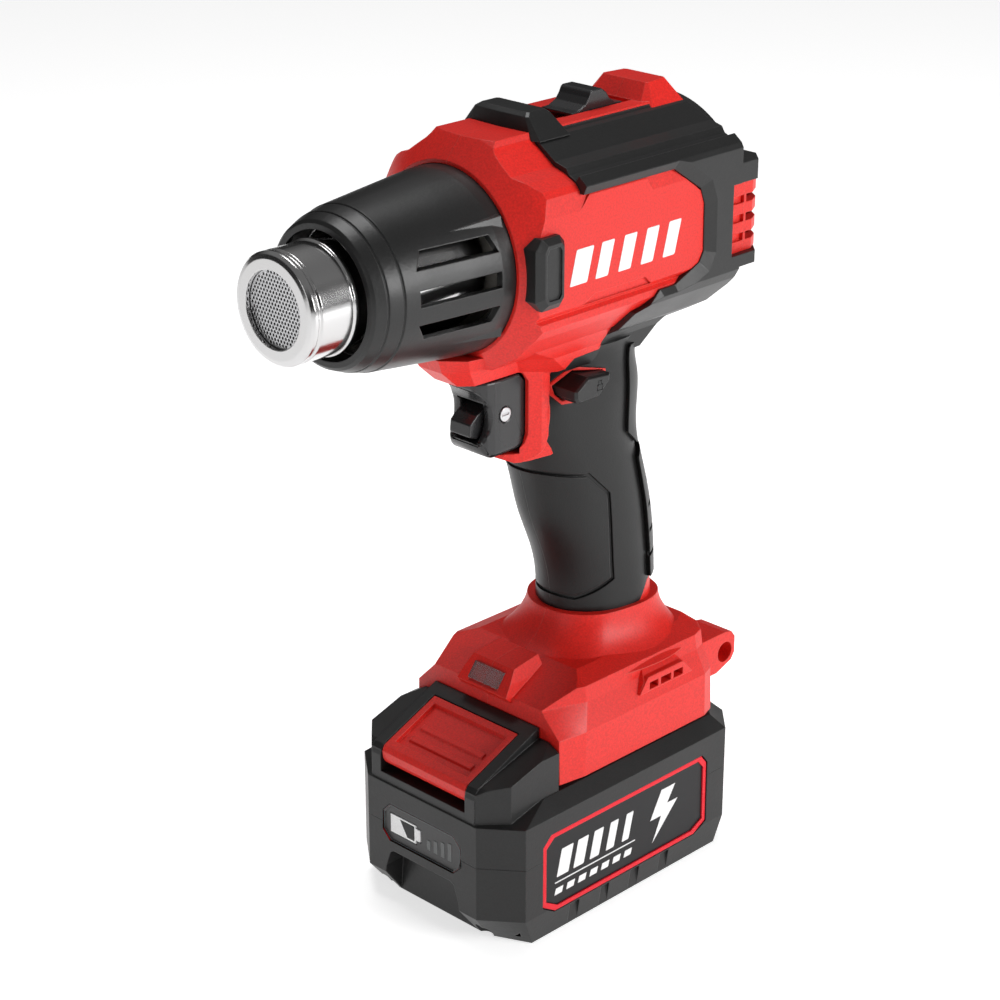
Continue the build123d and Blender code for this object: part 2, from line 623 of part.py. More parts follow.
def window_bevel(side):
    """Slope from the window's edge up to the armour's ridge."""
    low = W + 0.4
    high = W + ARMOUR_SKIN + 0.2
    wires = [
        Wire.make_polygon([Vector(x, side * low, z) for x, z in WINDOW], close=True),
        Wire.make_polygon([Vector(x, side * high, z) for x, z in grown(WINDOW, WINDOW_BEVEL)], close=True),
    ]
    return Solid.make_loft(wires, ruled=True)


def red_barrel_parts():
    """Red bodies that the armour lies on."""
    body = barrel_outer() + rear_bump() + rear_side_block()
    body = body + flare(0.0)
    body = body + prism_x(both_sides(CAVITY_HALF), -21.0, 45.0)
    return body


def armour_pair():
    """Left and right armour with the right half's screw holes."""
    body = armour() - front_bump_solid()
    left = left_half(body)
    right = right_half(body)
    for x, z, seat in SCREWS:
        right = right - rod_y(seat, seat + 30.0, x, z, SCREW_HEAD_R + 0.15)
    return clean_parts(left, 30.0), clean_parts(right, 30.0)


def front_bump_solid():
    """Black block ahead of the slider, with its slanted ends."""
    low = [(-24.2, 0.0), (-23.2, 14.0), (-22.0, 16.6), (-9.0, 16.6), (-8.4, 12.0), (-8.4, 0.0)]
    mid = [(-22.4, 0.0), (-22.2, 10.4), (-21.6, 11.4), (-12.4, 11.4), (-11.6, 10.0), (-11.6, 0.0)]
    top = [(-20.6, 0.0), (-20.6, 9.4), (-19.9, 10.0), (-13.8, 10.0), (-13.2, 9.2), (-13.2, 0.0)]
    return loft_z([(259.6, both_plan(low)), (266.2, both_plan(mid)), (267.3, both_plan(top))])


def front_bump():
    """Front bump resting on the barrel."""
    return clean_parts(front_bump_solid() - barrel_outer())


def mode_slider():
    """Three-position slider in the top channel."""
    outline = [
        (2.6, 260.95), (2.6, 262.2), (5.4, 262.4), (8.4, 263.7), (10.0, 265.7), (10.8, 267.3), (11.6, 267.9),
        (15.9, 267.9), (18.0, 266.4), (19.6, 264.2), (22.4, 262.4), (25.4, 262.2), (25.4, 260.95),
    ]
    body = prism_y(outline, -6.4, 6.4)
    stem = block(10.0, 16.0, -2.2, 2.2, 256.4, 261.2)
    return body + stem


def grip_pair():
    """Left and right handle skins."""
    skin = grip_skin()
    for cut in (prism_y(lock_window(2.0), -40.0, 40.0),):
        skin = skin - cut
    skin = skin - block(-60.0, -13.0, -9.6, 9.6, 157.0, 186.0)
    panel = [(-40.0, 150.6), (-12.0, 148.8), (-1.0, 147.0), (1.5, 146.8), (10.6, 137.6), (15.0, 105.0), (4.0, 98.4), (-8.0, 100.6), (-40.0, 112.0)]
    inner = [(-40.0, 149.2), (-12.0, 147.4), (-1.4, 145.6), (0.9, 145.4), (9.2, 137.2), (13.4, 105.8), (3.6, 99.9), (-7.6, 102.0), (-40.0, 113.6)]
    ring = prism_y(panel, -60.0, 60.0) - prism_y(inner, -60.0, 60.0)
    ring = ring - handle_solid(0.8)
    skin = skin - ring
    left = left_half(skin)
    right = right_half(skin)
    for x, z, seat in SCREWS:
        right = right - rod_y(seat, seat + 30.0, x, z, SCREW_HEAD_R + 0.15)
    return clean_parts(left, 20.0), clean_parts(right, 20.0)


def neck_pad():
    """Raised pad on the back of the neck."""
    region = [(17.6, 186.0), (17.6, 157.0), (25.0, 150.8), (44.0, 150.8), (44.0, 192.0), (24.0, 192.0)]
    body = (handle_solid(-1.0) - handle_solid(0.0)) & prism_y(region, -60.0, 60.0)
    body = body & block(17.6, 60.0, -60.0, 60.0, 150.0, 186.6)
    body = body - flare(0.0)
    return clean_parts(body, 20.0)


def grip_spine():
    """Notched strip down the back of the grip."""
    region = [(24.4, 146.0), (30.0, 149.6), (60.0, 149.6), (60.0, 101.0), (31.2, 101.0), (30.4, 112.0), (28.0, 130.0)]
    body = (handle_solid(-1.2) - handle_solid(0.0)) & prism_y(region, -60.0, 60.0)
    floor = handle_solid(-0.45)
    for k in range(5):
        z = 137.0 - 9.0 * k
        body = body - (prism_y([(30.0, z), (30.0, z - 1.4), (60.0, z + 5.0), (60.0, z + 6.4)], -60.0, 60.0) - floor)
    return clean_parts(body, 5.0)


def lock_frame():
    """Thin red frame around the lock button on each side."""
    ring = prism_y(lock_window(1.95), -40.0, 40.0) - prism_y(lock_window(0.75), -40.0, 40.0)
    body = (handle_solid(-0.25) - handle_solid(GRIP_SKIN)) & ring & prism_y(GRIP_REGION, -60.0, 60.0)
    return body


def lock_button():
    """Cross-bolt switch lock with a chamfered end each side."""
    outline = lock_window(0.0)
    body = prism_y(outline, -HANDLE_HALF_WIDTH - LOCK_PROUD, HANDLE_HALF_WIDTH - 0.6)
    tip = loft_y_cap(outline)
    return body + tip


def loft_y_cap(outline):
    """Shallow bevelled cap on the button's left end."""
    cx = sum(p[0] for p in outline) / len(outline)
    cz = sum(p[1] for p in outline) / len(outline)
    y0 = -HANDLE_HALF_WIDTH - LOCK_PROUD
    small = [(cx + (x - cx) * 0.88, cz + (z - cz) * 0.84) for x, z in outline]
    wires = [
        Wire.make_polygon([Vector(x, y0 + 0.01, z) for x, z in outline], close=True),
        Wire.make_polygon([Vector(x, y0 - 0.7, z) for x, z in small], close=True),
    ]
    return Solid.make_loft(wires, ruled=True)


def side_pad(side):
    """Rubber bumper pad on the barrel's flank."""
    base = [(-43.6, 218.6), (-41.0, 215.4), (-33.6, 215.4), (-31.6, 217.6), (-31.6, 235.4), (-33.6, 237.6), (-41.0, 237.6), (-43.6, 234.4)]
    face = [(-41.0, 219.6), (-39.6, 217.4), (-34.2, 217.4), (-33.0, 218.8), (-33.0, 234.2), (-34.2, 235.6), (-39.6, 235.6), (-41.0, 233.4)]
    wires = [
        Wire.make_polygon([Vector(x, side * 30.0, z) for x, z in base], close=True),
        Wire.make_polygon([Vector(x, side * (W + 1.6), z) for x, z in base], close=True),
        Wire.make_polygon([Vector(x, side * (W + 3.2), z) for x, z in face], close=True),
    ]
    body = Solid.make_loft(wires, ruled=True)
    rim = [(-37.4 + (x + 37.4) * 0.8, 226.5 + (z - 226.5) * 0.88) for x, z in face]
    dish = prism_y(rim, min(side * (W + 2.5), side * (W + 5.0)), max(side * (W + 2.5), side * (W + 5.0)))
    return largest(body - dish - barrel_outer())


# ------------------------------------------------------------------ nozzle group
def nozzle_tube():
    """Polished steel outlet tube with a rolled lip."""
    f = NOZZLE_FRONT_X
    r = NOZZLE_TUBE_R
    i = r - NOZZLE_WALL
    outline = [
        (f, NOZZLE_MOUTH_R), (f, NOZZLE_FACE_R), (f + 0.5, 16.2), (f + 1.5, NOZZLE_LIP_R), (f + 2.6, NOZZLE_LIP_R),
        (f + 3.1, r + 0.1), (f + 3.7, r + 0.1), (f + 4.2, NOZZLE_LIP_R), (f + 15.6, NOZZLE_LIP_R), (f + 16.0, NOZZLE_BEAD_R), (f + 17.2, NOZZLE_BEAD_R),
        (f + 17.8, r), (NOZZLE_BACK_X, r), (NOZZLE_BACK_X, i), (f + 1.4, i), (f + 1.4, NOZZLE_MOUTH_R),
    ]
    return turned(outline)


def nozzle_grille():
    """Perforated guard disc inside the mouth."""
    x0 = NOZZLE_FRONT_X + GRILLE_DEPTH
    rim = NOZZLE_TUBE_R - NOZZLE_WALL
    plane = Plane(origin=(x0, 0, AXIS_Z), z_dir=(1, 0, 0), x_dir=(0, 1, 0))
    holes = []
    rows = int(NOZZLE_MOUTH_R / (GRILLE_PITCH * 0.866)) + 1
    for j in range(-rows, rows + 1):
        for k in range(-rows - 2, rows + 3):
            y = (k + 0.5 * (j % 2)) * GRILLE_PITCH
            z = j * GRILLE_PITCH * 0.866
            if math.hypot(y, z) < NOZZLE_MOUTH_R - 0.7:
                spot = Plane(origin=(x0, y, AXIS_Z + z), z_dir=(1, 0, 0), x_dir=(0, 1, 0))
                holes.append(Wire([Edge.make_circle(GRILLE_HOLE_R, spot)]))
    face = Face(Wire([Edge.make_circle(rim, plane)]), holes)
    return Solid.extrude(face, Vector(GRILLE_THICK, 0, 0))


def heat_shield():
    """Bright tube around the heater, seen through the shroud's slots."""
    x0 = -86.0
    x1 = -43.0
    r = SHIELD_R
    return turned([(x0, r - SHIELD_WALL), (x0, r), (x1, r), (x1, r - SHIELD_WALL)])


def shield_spacer():
    """Ceramic ring that holds the shield and the nozzle tube on one axis."""
    inner = SHIELD_R - SHIELD_WALL
    return turned([
        (-52.0, NOZZLE_TUBE_R), (-52.0, inner), (-43.0, inner), (-43.0, 26.6), (-40.8, 26.6), (-40.8, 14.6),
        (NOZZLE_BACK_X, 14.6), (NOZZLE_BACK_X, NOZZLE_TUBE_R),
    ])


def mica_sleeve():
    """Mica insulating sleeve inside the tube."""
    return turned([(-104.0, MICA_R - MICA_WALL), (-104.0, MICA_R + 0.25), (-52.0, MICA_R + 0.25), (-52.0, MICA_R - MICA_WALL)])


def coil_rings(grow):
    """Heater windings as rings joined by two lead bars."""
    rings = []
    span = 40.0
    for k in range(COIL_TURNS):
        x = -99.0 + span * k / (COIL_TURNS - 1)
        h = COIL_WIRE / 2 + grow
        rings.append(turned([(x - h, COIL_R - h), (x - h, COIL_R + h), (x + h, COIL_R + h), (x + h, COIL_R - h)]))
    return rings


def heater_coils():
    """Resistance windings on the ceramic core."""
    body = join(coil_rings(0.0))
    a = COIL_R * 0.7071
    for sign in (-1, 1):
        body = body + rod_x(-99.0, -54.0, sign * a, AXIS_Z + a, 0.5)
    return body


def heater_core():
    """Crossed mica plates, notched for the windings."""
    r = MICA_R - MICA_WALL
    h = CORE_THICK / 2
    core = block(-102.0, -56.0, -r * 0.98, r * 0.98, AXIS_Z - h, AXIS_Z + h)
    core = core + block(-102.0, -56.0, -h, h, AXIS_Z - r * 0.98, AXIS_Z + r * 0.98)
    core = core & rod_x(-103.0, -55.0, 0, AXIS_Z, r)
    for ring in coil_rings(0.0):
        core = core - ring
    return core


def front_shroud():
    """Textured black cone around the heater with three slots each side."""
    f = SHROUD_FRONT_X
    outline = [
        (f, SHROUD_MOUTH_R), (f, SHROUD_FRONT_R - 1.0), (f + 0.8, SHROUD_FRONT_R), (f + 4.0, 23.7), (f + 4.2, 23.5), (f + 4.6, 23.5), (f + 4.8, 24.0),
        (f + 9.2, 25.0), (f + 9.4, 24.8), (f + 9.8, 24.8), (f + 10.0, 25.3), (-60.0, 28.0), (-50.0, SHROUD_BACK_R - 0.1), (-45.0, SHROUD_BACK_R),
        (SHROUD_BACK_X, SHROUD_BACK_R), (SHROUD_BACK_X, SHROUD_BACK_R - 2.2), (-50.0, SHROUD_BACK_R - 2.4),
        (f + 14.0, 23.2), (f + 3.0, SHROUD_MOUTH_R + 1.6), (f + 1.6, SHROUD_MOUTH_R),
    ]
    body = turned(outline)
    for side in (-1, 1):
        for k in (-1, 0, 1):
            z = AXIS_Z + 1.2 + SLOT_PITCH * k
            lean = 3.2 * (1 if k == 1 else (-1 if k == -1 else 0))
            h = SLOT_HEIGHT / 2
            pts = [(SLOT_X0 + abs(lean), z + h), (SLOT_X1 - 2.0, z + h), (SLOT_X1, z - h), (SLOT_X0, z - h)]
            if k == -1:
                pts = [(SLOT_X0, z + h), (SLOT_X1, z + h), (SLOT_X1 - 2.0, z - h), (SLOT_X0 + 3.2, z - h)]
            if k == 0:
                pts = [(SLOT_X0, z + h), (SLOT_X1, z + h), (SLOT_X1, z - h), (SLOT_X0, z - h)]
            body = body - prism_y(pts, min(side * 12.0, side * 40.0), max(side * 12.0, side * 40.0))
    for side in (-1, 1):
        for flip in (1, -1):
            tip = [(side * 19.0, AXIS_Z + flip * 15.6), (side * 18.9, AXIS_Z + flip * 15.8), (side * 18.6, AXIS_Z + flip * 15.9)]
            base = [(side * 25.2, AXIS_Z + flip * 13.6), (side * 23.9, AXIS_Z + flip * 18.6), (side * 19.0, AXIS_Z + flip * 19.0)]
            rib = loft_x([(-84.0, tip), (-46.2, base)])
            body = body + (rib - rod_x(-90.0, -40.0, 0, AXIS_Z, 26.6))
    return largest(body)


# ------------------------------------------------------------------ fan and motor
def fan_impeller():
    """Radial fan with forward-leaning blades on a dished hub."""
    x0 = FAN_X - FAN_WIDTH
    body = turned([(x0, SHAFT_R), (x0, FAN_HUB_R - 2.0), (FAN_X - 2.0, FAN_HUB_R), (FAN_X - 1.6, FAN_R), (FAN_X, FAN_R), (FAN_X, SHAFT_R)])
    for k in range(FAN_BLADES):
        blade = block(x0 + 1.0, FAN_X - 1.0, 0.0, 1.2, AXIS_Z + FAN_HUB_R - 3.0, AXIS_Z + FAN_R - 0.6)
        blade = blade.rotate(Axis((0, 0, AXIS_Z + FAN_HUB_R - 3.0), (1, 0, 0)), 24)
        blade = blade & rod_x(x0, FAN_X, 0, AXIS_Z, FAN_R)
        body = body + blade.rotate(Axis((0, 0, AXIS_Z), (1, 0, 0)), 360.0 * k / FAN_BLADES)
    body = body - rod_x(x0 - 1, FAN_X + 1, 0, AXIS_Z, SHAFT_R)
    return largest(body)


def motor_shaft():
    """Steel shaft through the motor and the fan hub."""
    return rod_x(FAN_X - FAN_WIDTH - 1.5, MOTOR_X1 - 4.0, 0, AXIS_Z, SHAFT_R)


def motor_can():
    """Motor body with a bored centre for the shaft."""
    bore = SHAFT_R + RUNNING_GAP
    boss = 5.0
    return turned([
        (MOTOR_X0 - 3.0, bore), (MOTOR_X0 - 3.0, boss), (MOTOR_X0, boss), (MOTOR_X0, MOTOR_R - 1.0), (MOTOR_X0 + 1.0, MOTOR_R),
        (MOTOR_X1, MOTOR_R), (MOTOR_X1, 6.0), (MOTOR_X1 + 2.5, 6.0), (MOTOR_X1 + 2.5, 0.0), (MOTOR_X1 - 3.6, 0.0), (MOTOR_X1 - 3.6, bore),
    ])


def motor_mount():
    """Plastic ring and arms that hold the motor in the barrel."""
    ring = turned([(6.0, MOTOR_R), (6.0, MOTOR_R + 2.2), (14.0, MOTOR_R + 2.2), (14.0, MOTOR_R)])
    arms = []
    for angle in (20.0, 160.0, 200.0, 340.0):
        arm = block(7.0, 13.0, -1.6, 1.6, AXIS_Z + MOTOR_R + 1.0, AXIS_Z + 44.0)
        arms.append(arm.rotate(Axis((0, 0, AXIS_Z), (1, 0, 0)), angle - 90.0))
    space = prism_x(both_sides(CAVITY_HALF), -40.0, 45.0)
    return largest((ring + join(arms)) & space)


def rear_cap():
    """Red grille cap with slots that wrap round both corners."""
    z0 = 213.4
    z1 = 237.0
    plan = both_plan([(53.4, W), (57.6, W), (62.0, 31.6), (66.0, 26.0)])
    body = prism_z(plan, z0, z1)
    body = body - block(53.0, 62.6, -29.4, 29.4, z0 + 1.6, z1 - 1.6)
    for a, b in ((229.4, 232.0), (223.2, 225.8), (217.0, 219.6)):
        for y0, y1 in ((-40.0, -13.0), (-11.0, -1.0), (1.0, 11.0), (13.0, 40.0)):
            body = body - block(54.4, 70.0, y0, y1, a, b)
    return largest(body)


# ------------------------------------------------------------------ trigger group
def trigger():
    """Finger trigger with a concave front, a slot for the tab and a rear stem."""
    back = TRIGGER_BACK_X
    top = TRIGGER_TOP_Z
    low = TRIGGER_BOTTOM_Z
    edges = [
        Edge.make_line((-40.2, 0, top), (-22.6, 0, top)),
        Edge.make_line((-22.6, 0, top), (back, 0, top - 3.4)),
        Edge.make_line((back, 0, top - 3.4), (back, 0, low + 4.4)),
        Edge.make_three_point_arc((back, 0, low + 4.4), (back - 1.4, 0, low + 1.2), (-24.0, 0, low)),
        Edge.make_line((-24.0, 0, low), (-31.6, 0, low)),
        Edge.make_three_point_arc((-31.6, 0, low), (-36.2, 0, low + 1.9), (-38.0, 0, low + 6.0)),
        Edge.make_three_point_arc((-38.0, 0, low + 6.0), (-34.8, 0, 173.4), (-40.0, 0, top - 2.6)),
        Edge.make_line((-40.0, 0, top - 2.6), (-40.2, 0, top)),
    ]
    face = Face(Wire(edges))
    h = TRIGGER_HALF_WIDTH
    body = Solid.extrude(face, Vector(0, h, 0)) + Solid.extrude(face, Vector(0, -h, 0))
    plan = both_plan([
        (-44.0, h - 6.0), (-40.4, h - 3.7), (-38.2, h - 2.1), (-36.0, h - 0.9), (-33.4, h - 0.2), (-31.0, h), (-10.0, h),
    ])
    body = body & prism_z(plan, 150.0, 190.0)
    section = both_sides([(0.0, 190.0), (h + 1.0, 190.0), (h + 1.0, low + 3.2), (h - 0.8, low + 1.0), (h - 2.8, low), (0.0, low)])
    body = body & prism_x(section, -60.0, 0.0)
    slot = prism_y([(-45.0, 163.9), (-37.0, 164.3), (-25.4, 167.6), (-25.4, 177.0), (-45.0, 177.0)], -20.0, 20.0)
    body = body - (slot & block(-45.0, -25.4, -TAB_HALF_WIDTH - FIT_GAP, TAB_HALF_WIDTH + FIT_GAP, 163.0, 178.0))
    body = body - rod_y(-20.0, 20.0, PIN_X, PIN_Z, PIN_R)
    for side in (-1, 1):
        body = body - rod_y(min(side * (h - 0.8), side * 20.0), max(side * (h - 0.8), side * 20.0), PIN_X, PIN_Z, PIN_HEAD_R)
    stem = block(back - 0.5, -5.0, -5.0, 5.0, 166.4, 181.6 - 7.0)
    return body + stem


def trigger_tab():
    """Small safety tab that swings on the pin."""
    outline = [
        (-40.4, 167.0), (-40.0, 171.0), (-37.2, 173.4), (-31.4, 176.0), (-27.4, 176.2), (-26.2, 174.8), (-26.2, 171.0),
        (-27.6, 169.8), (-31.4, 169.2), (-36.8, 165.6),
    ]
    body = prism_y(outline, -TAB_HALF_WIDTH, TAB_HALF_WIDTH)
    return body - rod_y(-20.0, 20.0, PIN_X, PIN_Z, PIN_R + RUNNING_GAP)


def trigger_pin():
    """Steel cross pin of the tab."""
    h = TRIGGER_HALF_WIDTH
    body = rod_y(-h + 0.4, h - 0.4, PIN_X, PIN_Z, PIN_R)
    for side in (-1, 1):
        body = body + rod_y(min(side * (h - 0.8), side * (h + 0.1)), max(side * (h - 0.8), side * (h + 0.1)), PIN_X, PIN_Z, PIN_HEAD_R)
        slot = block(PIN_X - 1.5, PIN_X + 1.5, min(side * (h - 0.3), side * 12.0), max(side * (h - 0.3), side * 12.0), PIN_Z - 0.3, PIN_Z + 0.3)
        body = body - slot
    return body


def trigger_spring():
    """Return spring behind the trigger's stem."""
    helix = Edge.make_helix(2.0, 8.6, 2.6, center=(-4.6, 0, 170.4), normal=(1, 0, 0))
    start = helix @ 0
    plane = Plane(origin=start, z_dir=helix % 0)
    return sweep(Face(Wire([Edge.make_circle(0.4, plane)])), path=Wire([helix]), is_frenet=True)


def switch_module():
    """Trigger switch block in the handle."""
    body = block(5.0, 21.0, -9.6, 9.6, 156.0, 173.6)
    body = body + block(4.4, 5.0, -5.6, 5.6, 163.0, 173.6)
    return body


def control_board():
    """Circuit board with three parts, standing in the foot."""
    board = block(-14.0, 34.0, -20.0, 20.0, 63.0, 64.6)
    parts = [block(-8.0, 2.0, -8.0, 8.0, 64.6, 70.0), rod_z(64.6, 72.4, 14.0, -8.0, 4.0), rod_z(64.6, 72.4, 14.0, 8.0, 4.0), block(22.0, 30.0, -10.0, 10.0, 64.6, 68.0)]
    return join([board] + parts)


def led_lens():
    """Clear window of the work light."""
    return prism_y([(-30.75, 77.1), (-27.15, 81.8), (-26.2, 81.0), (-29.7, 76.4)], -6.6, 6.6)


def led_board():
    """Work-light board with three lamps, just behind the lens."""
    body = prism_y([(-27.5, 77.9), (-26.5, 79.2), (-25.7, 78.6), (-26.7, 77.3)], -5.2, 5.2)
    return body


def terminal_block():
    """Tool-side contact block with four blades."""
    body = block(RAIL_REAR_X + 0.7, 45.2, -16.8, 16.8, FOOT_BOTTOM_Z + 1.8, 61.8)
    for y in (-13.0, -5.0, 5.0, 13.0):
        body = body + block(30.0, RAIL_REAR_X + 1.0, y - 0.4, y + 0.4, 53.6, 57.0)
    return body


# ------------------------------------------------------------------ battery pack
H = PACK_WIDTH / 2
L = PACK_LENGTH / 2
PACK_PLAN = [(-L, 25.4), (-49.0, H), (49.5, H), (L, 28.6)]
PACK_FLOOR = [(-51.0, 22.6), (-44.4, H - 1.6), (47.0, H - 1.6), (54.0, 26.4)]
PACK_TOP = [(-46.0, 22.0), (-36.0, H - 4.7), (46.4, H - 4.7), (54.6, 24.4)]
PACK_INNER = [(-L + 3.4, 24.2), (-48.0, H - PACK_WALL), (48.5, H - PACK_WALL), (L - 2.4, 27.4)]
LABEL = [
    (-41.0, 12.0), (-35.2, 8.4), (34.7, 8.4), (40.6, 11.6), (40.4, 34.8), (37.7, 38.2), (-37.2, 38.2), (-41.0, 34.7),
]


def label_outline(inset):
    """Eight-cornered label outline, drawn in by the inset."""
    cx = -0.2
    cz = 23.3
    sx = (40.8 - inset) / 40.8
    sz = (14.9 - inset) / 14.9
    return [(cx + (x - cx) * sx, cz + (z - cz) * sz) for x, z in LABEL]


def button_slope(x):
    """Height of the hump's sloping top at x."""
    return 57.0 + (x + 56.8) * HUMP_SLOPE


def label_cuts():
    """Shallow label recesses in both flanks."""
    cuts = []
    for side in (-1, 1):
        cuts.append(prism_y(label_outline(0.0), min(side * (H - LABEL_DEPTH), side * (H + 3)), max(side * (H - LABEL_DEPTH), side * (H + 3))))
    return cuts


def gauge_outline(inset):
    """Eight-cornered outline of the charge gauge, in (y, z)."""
    a = 18.4 - inset
    b = 15.0 - inset * 0.6
    z0 = 23.4 + inset
    z1 = 37.4 - inset
    c = 3.4
    return [(-a, z0 + c), (-b, z0), (b, z0), (a, z0 + c), (a, z1 - c), (b, z1), (-b, z1), (-a, z1 - c)]


def pack_lower():
    """Lower case of the pack, with finger pocket and side ribs."""
    body = prism_z(both_plan(PACK_PLAN), PACK_CHAMFER_Z, PACK_SEAM_Z)
    body = body + loft_z([(0.0, both_plan(PACK_FLOOR)), (PACK_CHAMFER_Z, both_plan(PACK_PLAN))])
    hull = body
    inner = prism_z(both_plan(PACK_INNER), PACK_CHAMFER_Z + 1.0, PACK_SEAM_Z + 1.0)
    low_in = [(-48.6, 20.0), (-48.0, H - 3.9), (47.0, H - 3.9), (51.0, 24.4)]
    mid_in = [(-48.6, 24.0), (-48.0, H - PACK_WALL), (48.5, H - PACK_WALL), (54.0, 27.0)]
    inner = inner & block(-48.9, 57.0, -60, 60, 0, 60)
    body = body - inner - loft_z([(2.6, both_plan(low_in)), (PACK_CHAMFER_Z + 1.2, both_plan(mid_in))])
    pocket = [(-18.4, -1.0), (-17.2, 13.0), (-15.0, 19.0), (-13.4, 19.9), (13.4, 19.9), (15.0, 19.0), (17.2, 13.0), (18.4, -1.0)]
    body = body - prism_x(pocket, -70.0, -51.2)
    for side in (-1, 1):
        for x0, x1 in ((-27.6, -23.0), (-12.4, -8.4), (2.2, 6.6), (17.2, 21.6)):
            notch = block(x0, x1, min(side * (H - 1.5), side * (H + 2)), max(side * (H - 1.5), side * (H + 2)), -1.0, 8.0)
            body = body - notch
    for cut in label_cuts():
        body = body - cut
    body = body - prism_x(gauge_outline(0.0), -L - 1.0, -L + 1.2)
    body = body - prism_x(battery_mark(0.35), -L - 1.0, -L + KEY_DEPTH)
    for x, y in PACK_SCREWS:
        body = body + (rod_z(0.2, PACK_SEAM_Z, x, y, 3.6) & hull)
        body = body - rod_z(-1.0, PACK_SCREW_Z, x, y, 3.0)
        body = body - rod_z(PACK_SCREW_Z - 1.0, PACK_SEAM_Z + 1, x, y, 1.5)
    return largest(body)


PACK_SCREWS = ((-52.2, -22.4), (-52.2, 22.4), (53.4, -24.0), (53.4, 24.0))


def pack_screws():
    """Four identical case screws, driven from below."""
    bodies = []
    for x, y in PACK_SCREWS:
        head = rod_z(PACK_SCREW_Z - 2.6, PACK_SCREW_Z, x, y, 2.8)
        shank = rod_z(PACK_SCREW_Z - 0.4, PACK_SEAM_Z + 6.0, x, y, 1.5)
        bodies.append((head + shank) - rod_z(0.0, PACK_SCREW_Z - 1.4, x, y, 1.2))
    return Compound(children=[largest(b) for b in bodies])


def hump_solid():
    """Front hump that carries the release button, with lower shoulders."""
    f = HUMP_FRONT_X
    r = HUMP_REAR_X
    profile = [(f, 44.0), (f, 53.4), (f + 0.5, 55.3), (f + 1.6, 57.0), (-54.6, button_slope(-54.6)), (r, button_slope(r)), (r, 44.0)]
    core = prism_y(profile, -HUMP_HALF_WIDTH, HUMP_HALF_WIDTH)
    plan = both_plan([(-58.0, 24.4), (-50.2, 32.6), (r, 33.0)])
    wide = prism_z(plan, 44.0, 70.0)
    top = prism_y([(-60.0, 44.0), (-60.0, 54.0), (-55.4, 57.2), (r, 65.0), (r, 44.0)], -40.0, 40.0)
    side = prism_x([(-33.4, 44.0), (-33.4, 62.4), (-25.0, 66.8), (25.0, 66.8), (33.4, 62.4), (33.4, 44.0)], -60.0, -20.0)
    return core + (wide & top & side)


def pack_upper():
    """Upper case: shoulders, deck, rails and hump."""
    body = prism_z(both_plan(PACK_PLAN), PACK_SEAM_Z, PACK_EDGE_Z)
    body = body + loft_z([(PACK_EDGE_Z, both_plan(PACK_PLAN)), (PACK_DECK_Z, both_plan(PACK_TOP))])
    body = body + hump_solid()
    head = block(HUMP_REAR_X - 1.0, RAIL_REAR_X, -RAIL_HEAD_HALF, RAIL_HEAD_HALF, RAIL_LIP_Z + 0.6, RAIL_TOP_Z)
    neck = block(HUMP_REAR_X - 1.0, RAIL_REAR_X, -RAIL_NECK_HALF, RAIL_NECK_HALF, PACK_DECK_Z - 1.0, RAIL_TOP_Z)
    body = body + head + neck
    body = body - inner_upper()
    body = body - block(22.0, RAIL_REAR_X - 2.0, -17.0, 17.0, 42.0, RAIL_TOP_Z - 1.4)
    for y in (-13.0, -5.0, 5.0, 13.0):
        body = body - block(28.0, RAIL_REAR_X + 1.0, y - 0.9, y + 0.9, RAIL_LIP_Z - 0.2, RAIL_TOP_Z + 1.0)
    body = body - block(-70.0, -33.3, -BUTTON_HALF_WIDTH - 0.4, BUTTON_HALF_WIDTH + 0.4, 47.6, 80.0)
    body = body - rod_z(45.4, 48.0, -45.0, 0.0, 4.2)
    for cut in label_cuts():
        body = body - cut
    body = body - prism_x(gauge_outline(0.0), -L - 1.0, -L + 1.2)
    body = body - prism_x(battery_mark(0.35), -L - 1.0, -L + KEY_DEPTH)
    for x, y in PACK_SCREWS:
        body = body + rod_z(PACK_SEAM_Z + 0.01, 43.0, x, y, 3.6)
        body = body - rod_z(PACK_SEAM_Z - 1, PACK_SEAM_Z + 6.2, x, y, 1.5)
    return largest(body)


def inner_upper():
    """Hollow of the upper case."""
    low = [(-L + 3.4, 23.6), (-48.0, H - PACK_WALL), (48.5, H - PACK_WALL), (L - 2.4, 27.2)]
    high = [(-44.0, 20.0), (-36.0, H - 7.4), (45.4, H - 7.4), (52.0, 22.8)]
    body = prism_z(both_plan(low), PACK_SEAM_Z - 1.0, PACK_EDGE_Z - 1.4)
    body = body + loft_z([(PACK_EDGE_Z - 1.4, both_plan(low)), (46.4, both_plan(high))])
    floor = block(-70.0, -30.0, -22.0, 22.0, 44.4, 50.0)
    return body - floor


def release_button():
    """Ribbed release button that sinks into the hump."""
    s = button_slope
    w = BUTTON_HALF_WIDTH
    outline = [(-57.9, 55.0), (-57.0, s(-57.0)), (-33.8, s(-33.8)), (-33.8, 60.4), (-48.0, 51.0), (-56.6, 50.6), (-57.6, 52.4)]
    body = prism_y(outline, -w, w)
    dish = prism_y([(-54.2, s(-54.2) - 1.7), (-36.2, s(-36.2) - 1.7), (-36.2, 80.0), (-54.2, 80.0)], -w + 2.4, w - 2.4)
    body = body - dish
    for x in (-49.8, -44.7):
        rib = prism_y([(x - 1.3, s(x - 1.3) - 2.2), (x - 0.9, s(x - 0.9) - 0.9), (x + 0.9, s(x + 0.9) - 0.9), (x + 1.3, s(x + 1.3) - 2.2)], -w + 4.6, w - 5.4)
        body = body + rib
    post = rod_z(50.2, 56.0, -45.0, 0.0, 2.4)
    return body + (post & block(-60, -30, -10, 10, 50.2, 55.5))


